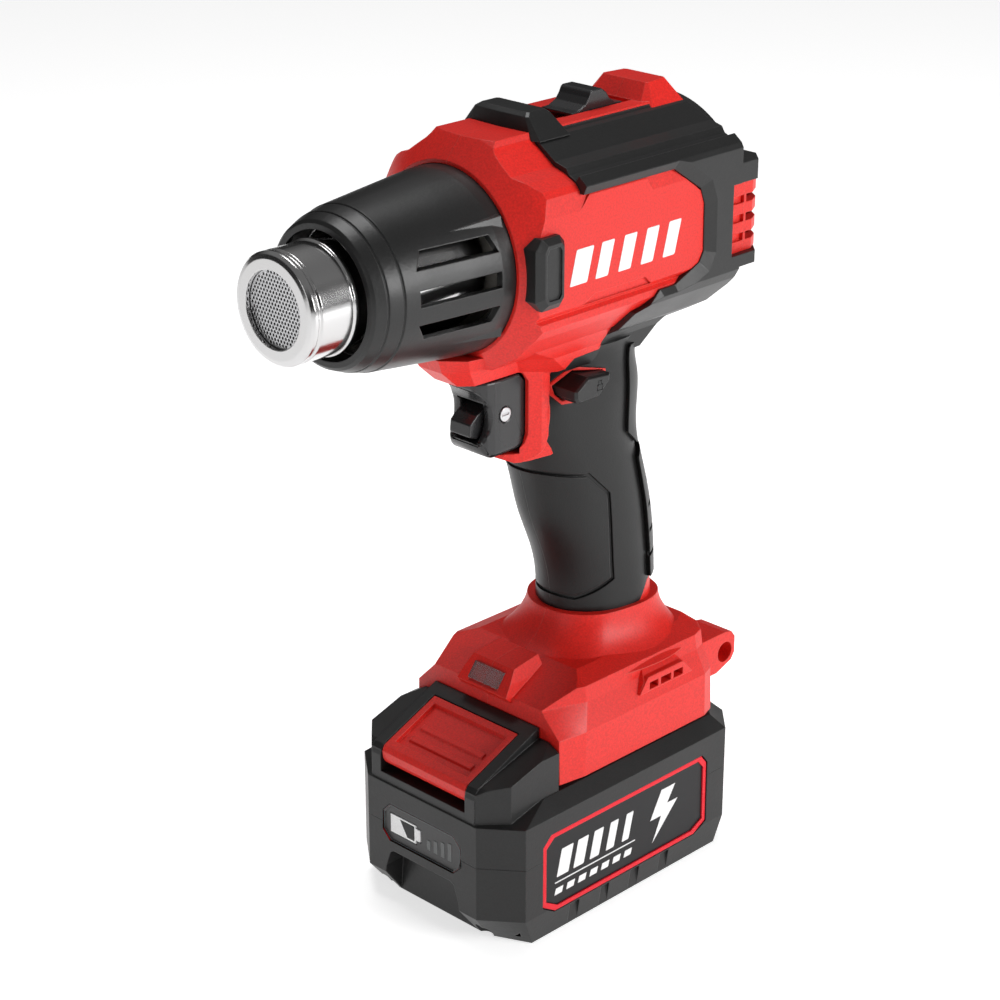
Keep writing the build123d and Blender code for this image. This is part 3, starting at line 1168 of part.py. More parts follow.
def latch_spring():
    """Coil spring under the release button."""
    helix = Edge.make_helix(1.3, 4.6, 3.2, center=(-45.0, 0, 45.9), normal=(0, 0, 1))
    plane = Plane(origin=helix @ 0, z_dir=helix % 0)
    return sweep(Face(Wire([Edge.make_circle(0.35, plane)])), path=Wire([helix]), is_frenet=True)


def label_frame(side):
    """Raised red frame around the label."""
    y0 = min(side * (H - LABEL_DEPTH), side * (H - 0.3))
    y1 = max(side * (H - LABEL_DEPTH), side * (H - 0.3))
    return prism_y(label_outline(0.35), y0, y1) - prism_y(label_outline(1.9), y0 - 1, y1 + 1)


def label_plate(side):
    """Dark plate inside the red frame."""
    y0 = min(side * (H - LABEL_DEPTH), side * (H - 0.8))
    y1 = max(side * (H - LABEL_DEPTH), side * (H - 0.8))
    return prism_y(label_outline(1.9), y0, y1)


def bar_y(k):
    """Middle of light bar k across the pack."""
    return -3.0 - k * BAR_PITCH


def bar_top(k):
    """Top of light bar k, each higher than the last."""
    return BAR_LOW_Z + 3.7 + k * 0.95


def gauge_panel():
    """Charge gauge window with a thin raised frame."""
    body = prism_x(gauge_outline(0.1), -L + 0.5, -L + 1.2)
    frame = prism_x(gauge_outline(0.1), -L + 0.1, -L + 1.2) - prism_x(gauge_outline(0.7), -L - 1.0, -L + 2.0)
    body = body + frame
    for k in range(4):
        y = bar_y(k)
        body = body - block(-L - 1, -L + 0.8, y - BAR_HALF, y + BAR_HALF, BAR_LOW_Z, bar_top(k))
    body = body - prism_x(battery_mark(0.35), -L - 1.0, -L + 3.0)
    return body


def gauge_bars():
    """Four light bars of rising height."""
    bars = []
    for k in range(4):
        y = bar_y(k)
        bars.append(block(-L + 0.42, -L + 0.8, y - BAR_HALF, y + BAR_HALF, BAR_LOW_Z, bar_top(k)))
    return Compound(children=bars)


def battery_mark(grow):
    """Outline of the press key in the shape of a small cell, in (y, z)."""
    g = grow
    return [
        (15.0 + g, 26.9 - g), (15.0 + g, 33.7 + g), (3.0 - g, 33.7 + g), (3.0 - g, 32.6 + g), (0.9 - g, 32.6 + g), (0.9 - g, 28.2 - g), (3.0 - g, 28.2 - g), (3.0 - g, 26.9 - g),
    ]


def gauge_button():
    """White press key beside the bars."""
    body = prism_x(battery_mark(0.0), -L + 0.35, -L + 1.3)
    return body


def cells():
    """Ten round cells lying across the pack."""
    bodies = []
    for row in CELL_ROWS_Z:
        for k in range(5):
            x = (k - 2) * CELL_PITCH
            can = rod_y(-CELL_LENGTH / 2, CELL_LENGTH / 2, x, row, CELL_R)
            bodies.append(can)
    return Compound(children=bodies)


def cell_holder(side):
    """Frame that seats the ends of the cells."""
    y0 = min(side * 22.0, side * 31.0)
    y1 = max(side * 22.0, side * 31.0)
    body = block(-48.2, 48.2, y0, y1, 5.8, 41.2)
    for row in CELL_ROWS_Z:
        for k in range(5):
            body = body - rod_y(y0 - 1, y1 + 1, (k - 2) * CELL_PITCH, row, CELL_R)
    return largest(body)


def bms_board():
    """Protection board on top of the cells."""
    board = block(-34.0, 44.0, -20.0, 20.0, 41.3, 42.9)
    chips = [block(-20.0, -8.0, -6.0, 6.0, 42.9, 44.3), block(2.0, 12.0, -10.0, -2.0, 42.9, 44.3)]
    return join([board] + chips)


def pack_terminals():
    """Spring forks that grip the tool's blades."""
    forks = []
    for y in (-13.0, -5.0, 5.0, 13.0):
        foot = block(24.4, 27.6, y - 1.5, y + 1.5, 42.9, 56.0)
        for s in (-1, 1):
            a = y + s * 0.75
            b = y + s * 1.5
            foot = foot + block(24.4, 35.6, min(a, b), max(a, b), 50.5, 56.0)
        forks.append(largest(foot))
    return Compound(children=forks)


os.makedirs("parts", exist_ok=True)

left_shell, right_shell = housing()
save(left_shell, "housing_left")
save(right_shell, "housing_right")
left_armour, right_armour = armour_pair()
save(left_armour, "armour_left")
save(right_armour, "armour_right")
left_grip, right_grip = grip_pair()
save(left_grip, "grip_left")
save(right_grip, "grip_right")
save(neck_pad(), "neck_pad")
save(grip_spine(), "grip_spine")
save(clean_parts(lock_frame(), 0.5), "lock_frame")
save(lock_button(), "lock_button")
save(side_pad(-1), "side_pad_left")
save(side_pad(1), "side_pad_right")
save(front_bump(), "front_bump")
save(mode_slider(), "mode_slider")
save(nozzle_tube(), "nozzle_tube")
save(nozzle_grille(), "nozzle_grille")
save(heat_shield(), "heat_shield")
save(shield_spacer(), "shield_spacer")
save(mica_sleeve(), "mica_sleeve")
save(heater_core(), "heater_core")
save(heater_coils(), "heater_coils")
save(front_shroud(), "front_shroud")
save(fan_impeller(), "fan_impeller")
save(motor_shaft(), "motor_shaft")
save(motor_can(), "motor_can")
save(motor_mount(), "motor_mount")
save(rear_cap(), "rear_cap")
save(hang_lug(), "hang_lug")
save(trigger(), "trigger")
save(trigger_tab(), "trigger_tab")
save(trigger_pin(), "trigger_pin")
save(trigger_spring(), "trigger_spring")
save(switch_module(), "switch_module")
save(control_board(), "control_board")
save(led_lens(), "led_lens")
save(led_board(), "led_board")
save(terminal_block(), "terminal_block")
save(housing_screws(), "housing_screws")
save(pack_lower(), "pack_lower")
save(pack_upper(), "pack_upper")
save(pack_screws(), "pack_screws")
save(release_button(), "release_button")
save(latch_spring(), "latch_spring")
save(label_frame(-1), "label_frame_left")
save(label_frame(1), "label_frame_right")
save(label_plate(-1), "label_plate_left")
save(label_plate(1), "label_plate_right")
save(gauge_panel(), "gauge_panel")
save(gauge_bars(), "gauge_bars")
save(gauge_button(), "gauge_button")
save(cells(), "cells")
save(cell_holder(-1), "cell_holder_left")
save(cell_holder(1), "cell_holder_right")
save(bms_board(), "bms_board")
save(pack_terminals(), "pack_terminals")
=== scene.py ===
"""Looks of a cordless heat gun, built around its packed mechanical frame."""

from __future__ import annotations

import json
import logging
import math
from dataclasses import dataclass, field
from enum import Enum
from typing import Callable, Iterable, Sequence

import bmesh
import bpy
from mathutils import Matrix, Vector
from mathutils.bvhtree import BVHTree

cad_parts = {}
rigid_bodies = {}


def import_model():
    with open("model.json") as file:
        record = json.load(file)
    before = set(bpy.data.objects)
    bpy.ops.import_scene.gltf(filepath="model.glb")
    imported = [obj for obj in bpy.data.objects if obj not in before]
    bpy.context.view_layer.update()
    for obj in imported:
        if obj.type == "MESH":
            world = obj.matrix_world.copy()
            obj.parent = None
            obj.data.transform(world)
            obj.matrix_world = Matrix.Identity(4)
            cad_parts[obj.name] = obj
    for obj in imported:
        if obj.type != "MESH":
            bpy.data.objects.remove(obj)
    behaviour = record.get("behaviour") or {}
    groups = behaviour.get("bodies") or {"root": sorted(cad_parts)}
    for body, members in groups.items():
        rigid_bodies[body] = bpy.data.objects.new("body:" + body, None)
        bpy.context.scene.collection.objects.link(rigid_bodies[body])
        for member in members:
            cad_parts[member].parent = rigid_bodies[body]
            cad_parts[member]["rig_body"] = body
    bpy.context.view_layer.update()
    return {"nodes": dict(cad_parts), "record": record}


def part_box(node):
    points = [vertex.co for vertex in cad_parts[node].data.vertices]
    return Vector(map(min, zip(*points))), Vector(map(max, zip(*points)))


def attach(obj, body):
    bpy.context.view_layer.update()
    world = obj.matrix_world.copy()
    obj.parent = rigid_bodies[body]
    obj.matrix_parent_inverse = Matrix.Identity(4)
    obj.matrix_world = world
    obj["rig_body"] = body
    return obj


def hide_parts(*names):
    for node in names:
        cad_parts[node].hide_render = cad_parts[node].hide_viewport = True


LOG = logging.getLogger("heat_gun")
MM = 0.001
Point = tuple[float, float, float]
Colour = tuple[float, float, float]


class Side(Enum):
    """The tool's two flanks, with the sign of their outward direction along Y."""

    LEFT = -1
    RIGHT = 1


# ---------------------------------------------------------------- shader tools
class Graph:
    """A small helper that adds and joins shader nodes in one tree."""

    def __init__(self, tree: bpy.types.NodeTree) -> None:
        """Keeps the tree that nodes are added to.

        Args:
            tree: the node tree of a material or of a group.
        """
        self.tree = tree

    def add(self, kind: str, **settings: object) -> bpy.types.Node:
        """Adds a node and sets its properties.

        Args:
            kind: the node's type name.
            settings: properties of the node.

        Returns:
            The new node.
        """
        node = self.tree.nodes.new(kind)
        for name, value in settings.items():
            setattr(node, name, value)
        return node

    def join(self, source: bpy.types.NodeSocket, target: bpy.types.NodeSocket) -> None:
        """Links an output to an input."""
        self.tree.links.new(source, target)

    def math(
        self, operation: str, a: object, b: object = None, clamp: bool = False
    ) -> bpy.types.NodeSocket:
        """Adds a Math node on two values or sockets.

        Args:
            operation: the Math node's operation.
            a: the first value or socket.
            b: the second value or socket, if the operation has one.
            clamp: whether the result is held between 0 and 1.

        Returns:
            The node's output.
        """
        node = self.add("ShaderNodeMath", operation=operation, use_clamp=clamp)
        for socket, value in zip(node.inputs, (a, b)):
            if isinstance(value, bpy.types.NodeSocket):
                self.join(value, socket)
            elif value is not None:
                socket.default_value = value
        return node.outputs[0]

    def noise(
        self, vector: bpy.types.NodeSocket, scale: float, detail: float, rough: float
    ) -> bpy.types.NodeSocket:
        """Adds a noise texture and returns its value.

        Args:
            vector: the coordinates, in metres.
            scale: the noise's scale.
            detail: its number of octaves.
            rough: how strong the fine octaves are.

        Returns:
            The noise value's output.
        """
        node = self.add("ShaderNodeTexNoise")
        node.inputs["Scale"].default_value = scale
        node.inputs["Detail"].default_value = detail
        node.inputs["Roughness"].default_value = rough
        self.join(vector, node.inputs["Vector"])
        return node.outputs["Fac"]


class SharedEffects:
    """The shader groups that several finishes use, each built once."""

    def __init__(self) -> None:
        """Builds every group."""
        self.wear_and_highlight = self._edge_wear_and_highlight()
        self.grain = self._spark_grain()
        self.brushing = self._brushing()

    @staticmethod
    def _group(
        name: str, inputs: Sequence[tuple[str, float]], outputs: Sequence[tuple[str, str]]
    ) -> tuple[bpy.types.NodeTree, Graph, bpy.types.Node, bpy.types.Node]:
        """Makes an empty group with its sockets.

        Args:
            name: the group's name.
            inputs: each float input and its default.
            outputs: each output and its socket type.

        Returns:
            The group, its graph helper, its input node and its output node.
        """
        tree = bpy.data.node_groups.new(name, "ShaderNodeTree")
        for label, default in inputs:
            socket = tree.interface.new_socket(label, in_out="INPUT", socket_type="NodeSocketFloat")
            socket.default_value = default
        for label, kind in outputs:
            tree.interface.new_socket(label, in_out="OUTPUT", socket_type=kind)
        graph = Graph(tree)
        return tree, graph, graph.add("NodeGroupInput"), graph.add("NodeGroupOutput")

    def _edge_wear_and_highlight(self) -> bpy.types.NodeTree:
        """Builds a softened normal at edges, and a mask of the edges, which the finishes paint lighter as
        rubbed wear and as a painted edge highlight.

        Returns:
            The shader group.
        """
        tree, graph, given, out = self._group(
            "rubbed_edges",
            (("Radius", 0.0004), ("Breakup", 900.0)),
            (("Mask", "NodeSocketFloat"), ("Normal", "NodeSocketVector")),
        )
        bevel = graph.add("ShaderNodeBevel", samples=6)
        graph.join(given.outputs["Radius"], bevel.inputs["Radius"])
        geometry = graph.add("ShaderNodeNewGeometry")
        dot = graph.add("ShaderNodeVectorMath", operation="DOT_PRODUCT")
        graph.join(bevel.outputs["Normal"], dot.inputs[0])
        graph.join(geometry.outputs["True Normal"], dot.inputs[1])
        turned = graph.math("SUBTRACT", 1.0, dot.outputs["Value"], clamp=True)
        sharp = graph.math("MULTIPLY", turned, 4.0, clamp=True)
        coords = graph.add("ShaderNodeTexCoord")
        noise = graph.add("ShaderNodeTexNoise")
        noise.inputs["Detail"].default_value = 3.0
        graph.join(coords.outputs["Object"], noise.inputs["Vector"])
        graph.join(given.outputs["Breakup"], noise.inputs["Scale"])
        # Mask of the edges that are painted lighter, broken up in patches: rubbed wear and a painted edge
        # highlight.
        patchy = graph.math("MULTIPLY", sharp, noise.outputs["Fac"], clamp=True)
        graph.join(patchy, out.inputs["Mask"])
        graph.join(bevel.outputs["Normal"], out.inputs["Normal"])
        return tree

    def _spark_grain(self) -> bpy.types.NodeTree:
        """Builds fine moulded grain with slow variation under it.

        Returns:
            The shader group.
        """
        tree, graph, given, out = self._group(
            "moulded_grain",
            (("Scale", 2600.0),),
            (("Height", "NodeSocketFloat"), ("Fleck", "NodeSocketFloat"), ("Handling", "NodeSocketFloat")),
        )
        coords = graph.add("ShaderNodeTexCoord")
        fine = graph.add("ShaderNodeTexNoise")
        fine.inputs["Detail"].default_value = 2.0
        fine.inputs["Roughness"].default_value = 0.6
        graph.join(coords.outputs["Object"], fine.inputs["Vector"])
        graph.join(given.outputs["Scale"], fine.inputs["Scale"])
        pits = graph.add("ShaderNodeTexVoronoi", feature="SMOOTH_F1")
        graph.join(coords.outputs["Object"], pits.inputs["Vector"])
        graph.join(graph.math("MULTIPLY", given.outputs["Scale"], 0.55), pits.inputs["Scale"])
        both = graph.math("ADD", fine.outputs["Fac"], pits.outputs["Distance"])
        graph.join(both, out.inputs["Height"])
        contrast = graph.math("SUBTRACT", fine.outputs["Fac"], 0.5)
        graph.join(graph.math("MULTIPLY", contrast, 3.0), out.inputs["Fleck"])
        slow = graph.noise(coords.outputs["Object"], 38.0, 4.0, 0.55)
        graph.join(slow, out.inputs["Handling"])
        return tree

    def _brushing(self) -> bpy.types.NodeTree:
        """Builds fine turning lines round the barrel's axis, and faint smudges.

        Returns:
            The shader group.
        """
        tree, graph, given, out = self._group(
            "turning_lines",
            (("Scale", 5000.0),),
            (("Lines", "NodeSocketFloat"), ("Smudge", "NodeSocketFloat")),
        )
        coords = graph.add("ShaderNodeTexCoord")
        squeeze = graph.add("ShaderNodeMapping")
        squeeze.inputs["Scale"].default_value = (1.0, 0.02, 0.02)
        graph.join(coords.outputs["Object"], squeeze.inputs["Vector"])
        lines = graph.add("ShaderNodeTexNoise")
        lines.inputs["Detail"].default_value = 3.0
        graph.join(squeeze.outputs["Vector"], lines.inputs["Vector"])
        graph.join(given.outputs["Scale"], lines.inputs["Scale"])
        graph.join(lines.outputs["Fac"], out.inputs["Lines"])
        graph.join(graph.noise(coords.outputs["Object"], 70.0, 4.0, 0.6), out.inputs["Smudge"])
        return tree


@dataclass(frozen=True)
class Finish:
    """What every finish shares: its name, colours, gloss and grain."""

    name: str
    colour: Colour
    roughness: float = 0.5
    roughness_spread: float = 0.12
    metallic: float = 0.0
    specular: float = 0.5
    grain_scale: float = 2600.0
    grain_depth: float = 0.00002
    fleck: float = 0.10
    edge_radius: float = 0.00045
    # The lighter colour painted along edges, as rubbed wear and as a painted edge highlight, and how much
    # of it.
    edge_colour: Colour = (0.6, 0.6, 0.6)
    edge_amount: float = 0.25

    def build(self, effects: SharedEffects) -> bpy.types.Material:
        """Builds the material's nodes.

        Args:
            effects: the shared shader groups.

        Returns:
            The finished material.
        """
        material = bpy.data.materials.new(self.name)
        material.use_nodes = True
        graph = Graph(material.node_tree)
        material.node_tree.nodes.clear()
        shader = graph.add("ShaderNodeBsdfPrincipled")
        output = graph.add("ShaderNodeOutputMaterial")
        graph.join(shader.outputs[0], output.inputs[0])
        self._constants(shader)
        wear_and_highlight = graph.add("ShaderNodeGroup", node_tree=effects.wear_and_highlight)
        wear_and_highlight.inputs["Radius"].default_value = self.edge_radius
        self._surface(graph, shader, wear_and_highlight, effects)
        return material

    def _constants(self, shader: bpy.types.Node) -> None:
        """Sets the values that are the same all over the surface."""
        shader.inputs["Metallic"].default_value = self.metallic
        shader.inputs["Specular IOR Level"].default_value = self.specular

    def _surface(
        self, graph: Graph, shader: bpy.types.Node, wear_and_highlight: bpy.types.Node, effects: SharedEffects
    ) -> None:
        """Joins grain, handling marks and lighter edges (rubbed wear and painted edge highlight) to the
        shader.

        Args:
            graph: the material's graph helper.
            shader: the surface shader.
            wear_and_highlight: the group of rubbed edges and painted edge highlight in this material.
            effects: the shared shader groups.
        """
        grain = graph.add("ShaderNodeGroup", node_tree=effects.grain)
        grain.inputs["Scale"].default_value = self.grain_scale
        tone = graph.math("MULTIPLY", grain.outputs["Fleck"], self.fleck)
        tone = graph.math("ADD", tone, 1.0)
        shade = graph.add("ShaderNodeMix", data_type="RGBA", blend_type="MULTIPLY")
        shade.inputs["Factor"].default_value = 1.0
        shade.inputs[6].default_value = (*self.colour, 1.0)
        graph.join(tone, shade.inputs[7])
        # Painted edge highlight and rubbed wear: the edge colour is mixed in along every edge.
        worn_and_highlit = graph.add("ShaderNodeMix", data_type="RGBA")
        graph.join(graph.math("MULTIPLY", wear_and_highlight.outputs["Mask"], self.edge_amount), worn_and_highlit.inputs["Factor"])
        graph.join(shade.outputs[2], worn_and_highlit.inputs[6])
        worn_and_highlit.inputs[7].default_value = (*self.edge_colour, 1.0)
        graph.join(worn_and_highlit.outputs[2], shader.inputs["Base Color"])
        spread = graph.math("SUBTRACT", grain.outputs["Handling"], 0.5)
        spread = graph.math("MULTIPLY", spread, self.roughness_spread * 2.0)
        graph.join(graph.math("ADD", spread, self.roughness, clamp=True), shader.inputs["Roughness"])
        bump = graph.add("ShaderNodeBump")
        bump.inputs["Distance"].default_value = self.grain_depth
        bump.inputs["Strength"].default_value = 1.0
        graph.join(grain.outputs["Height"], bump.inputs["Height"])
        graph.join(wear_and_highlight.outputs["Normal"], bump.inputs["Normal"])
        graph.join(bump.outputs["Normal"], shader.inputs["Normal"])


@dataclass(frozen=True)
class SeamedPlastic(Finish):
    """Moulded plastic with a thin dark line where the two cases of the pack meet."""

    seam_z: float = 0.0297
    seam_half: float = 0.00022
    seam_colour: Colour = (0.004, 0.004, 0.004)

    def _surface(
        self, graph: Graph, shader: bpy.types.Node, wear_and_highlight: bpy.types.Node, effects: SharedEffects
    ) -> None:
        """Joins the moulded surface to the shader and darkens it along the seam.

        Args:
            graph: the material's graph helper.
            shader: the surface shader.
            wear_and_highlight: the group of rubbed edges and painted edge highlight in this material.
            effects: the shared shader groups.
        """
        super()._surface(graph, shader, wear_and_highlight, effects)
        moulded = shader.inputs["Base Color"].links[0].from_socket
        coords = graph.add("ShaderNodeTexCoord")
        split = graph.add("ShaderNodeSeparateXYZ")
        graph.join(coords.outputs["Object"], split.inputs[0])
        away = graph.math("ABSOLUTE", graph.math("SUBTRACT", split.outputs["Z"], self.seam_z))
        near = graph.math("LESS_THAN", away, self.seam_half)
        seam = graph.add("ShaderNodeMix", data_type="RGBA")
        graph.join(near, seam.inputs["Factor"])
        graph.join(moulded, seam.inputs[6])
        seam.inputs[7].default_value = (*self.seam_colour, 1.0)
        graph.join(seam.outputs[2], shader.inputs["Base Color"])


@dataclass(frozen=True)
class TurnedSteel(Finish):
    """Steel with fine turning lines, smudges and a faint heat tint that follows the smudges."""

    heat_tint: Colour = (0.75, 0.66, 0.50)
    tint_amount: float = 0.0

    def _surface(
        self, graph: Graph, shader: bpy.types.Node, wear_and_highlight: bpy.types.Node, effects: SharedEffects
    ) -> None:
        """Joins the turning lines and the tint to the shader.

        Args:
            graph: the material's graph helper.
            shader: the surface shader.
            wear_and_highlight: the group of rubbed edges and painted edge highlight in this material; only
                its softened normal is used here.
            effects: the shared shader groups.
        """
        lines = graph.add("ShaderNodeGroup", node_tree=effects.brushing)
        lines.inputs["Scale"].default_value = self.grain_scale
        tint = graph.add("ShaderNodeMix", data_type="RGBA")
        graph.join(graph.math("MULTIPLY", lines.outputs["Smudge"], self.tint_amount), tint.inputs["Factor"])
        tint.inputs[6].default_value = (*self.colour, 1.0)
        tint.inputs[7].default_value = (*self.heat_tint, 1.0)
        graph.join(tint.outputs[2], shader.inputs["Base Color"])
        spread = graph.math("SUBTRACT", lines.outputs["Smudge"], 0.5)
        spread = graph.math("MULTIPLY", spread, self.roughness_spread * 2.0)
        graph.join(graph.math("ADD", spread, self.roughness, clamp=True), shader.inputs["Roughness"])
        bump = graph.add("ShaderNodeBump")
        bump.inputs["Distance"].default_value = self.grain_depth
        graph.join(lines.outputs["Lines"], bump.inputs["Height"])
        graph.join(wear_and_highlight.outputs["Normal"], bump.inputs["Normal"])
        graph.join(bump.outputs["Normal"], shader.inputs["Normal"])


@dataclass(frozen=True)
class ClearPlastic(Finish):
    """Clear moulded plastic of the work light."""

    transmission: float = 0.9
    index: float = 1.49

    def _constants(self, shader: bpy.types.Node) -> None:
        """Sets the values of a clear moulding.

        Args:
            shader: the surface shader.
        """
        super()._constants(shader)
        shader.inputs["Transmission Weight"].default_value = self.transmission
        shader.inputs["IOR"].default_value = self.index


RED = (0.70, 0.017, 0.011)
# Edge colours of the dark finishes, painted along edges as rubbed wear and as a painted edge highlight.
DARK_EDGE = (0.16, 0.16, 0.16)
BLACK_EDGE = (0.17, 0.17, 0.17)
FINISHES: tuple[Finish, ...] = (
    Finish(
        "red_shell", RED, 0.42, 0.10, specular=0.38, grain_scale=1500.0, grain_depth=0.000026,
        fleck=0.24, edge_colour=(0.95, 0.22, 0.16), edge_amount=0.5,
    ),
    Finish(
        "armour_rubber", (0.012, 0.012, 0.012), 0.38, 0.10, specular=0.4, grain_scale=1600.0,
        fleck=0.22, edge_colour=DARK_EDGE, edge_amount=0.45,
    ),
    Finish(
        "grip_rubber", (0.007, 0.007, 0.007), 0.38, 0.10, specular=0.34, grain_scale=3200.0,
        edge_colour=DARK_EDGE, edge_amount=0.4,
    ),
    Finish(
        "black_plastic", (0.012, 0.012, 0.012), 0.36, 0.10, specular=0.42, grain_scale=1700.0,
        fleck=0.22, edge_colour=BLACK_EDGE, edge_amount=0.45,
    ),
    Finish(
        "gloss_black", (0.016, 0.016, 0.017), 0.26, 0.08, grain_depth=0.000006,
        edge_colour=(0.2, 0.2, 0.2), edge_amount=0.4,
    ),
    TurnedSteel(
        "polished_steel", (0.60, 0.60, 0.61), 0.15, 0.06, metallic=1.0, grain_depth=0.000002,
        tint_amount=0.12,
    ),
    TurnedSteel("brushed_steel", (0.58, 0.58, 0.59), 0.34, 0.10, metallic=1.0, grain_depth=0.00001),
    Finish("ceramic", (0.80, 0.77, 0.70), 0.60, grain_scale=1800.0, edge_colour=(0.9, 0.88, 0.84)),
    Finish("mica", (0.62, 0.56, 0.44), 0.35, grain_scale=700.0, fleck=0.3, edge_colour=(0.75, 0.70, 0.60)),
    TurnedSteel(
        "heater_wire", (0.36, 0.32, 0.30), 0.45, 0.10, metallic=1.0, tint_amount=0.5,
        heat_tint=(0.30, 0.22, 0.30),
    ),
    Finish("fan_plastic", (0.09, 0.09, 0.10), 0.45),
    Finish(
        "circuit_board", (0.03, 0.19, 0.07), 0.35, grain_scale=500.0, fleck=0.4,
        grain_depth=0.00001, edge_colour=(0.6, 0.5, 0.2),
    ),
    ClearPlastic("lens", (0.90, 0.92, 0.94), 0.06, 0.03, grain_depth=0.000001, edge_amount=0.05),
    SeamedPlastic(
        "pack_plastic", (0.013, 0.013, 0.013), 0.40, 0.10, specular=0.38, grain_scale=1600.0,
        fleck=0.22, edge_colour=BLACK_EDGE, edge_amount=0.45,
    ),
    Finish(
        "label_red", (0.74, 0.006, 0.020), 0.42, 0.06, specular=0.3, grain_depth=0.000003,
        edge_colour=(0.9, 0.1, 0.1),
    ),
    Finish(
        "label_black", (0.007, 0.007, 0.008), 0.40, 0.08, specular=0.3, grain_depth=0.000003,
        edge_colour=(0.05, 0.05, 0.05),
    ),
    Finish("gauge_grey", (0.030, 0.030, 0.031), 0.42, 0.08, grain_depth=0.000006),
    Finish("gauge_light", (0.085, 0.09, 0.09), 0.30, 0.06, grain_depth=0.000003),
    Finish(
        "white_print", (0.86, 0.86, 0.86), 0.42, 0.08, grain_depth=0.000004,
        edge_colour=(0.8, 0.8, 0.8),
    ),
    Finish(
        "cell_wrap", (0.06, 0.28, 0.42), 0.30, 0.06, grain_depth=0.000004,
        edge_colour=(0.5, 0.6, 0.7),
    ),
    TurnedSteel("brass_contact", (0.80, 0.62, 0.28), 0.28, 0.08, metallic=1.0, grain_depth=0.000004),
)


@dataclass
class Wardrobe:
    """All finishes as materials, by the name of the record's slot."""

    effects: SharedEffects
    materials: dict[str, bpy.types.Material] = field(default_factory=dict)

    def stock(self) -> None:
        """Builds every finish once."""
        for finish in FINISHES:
            self.materials[finish.name] = finish.build(self.effects)

    def dress(self, piece: bpy.types.Object, name: str) -> None:
        """Gives a piece one finish all over.

        Args:
            piece: the object to dress.
            name: the finish's name.
        """
        piece.data.materials.clear()
        piece.data.materials.append(self.materials[name])


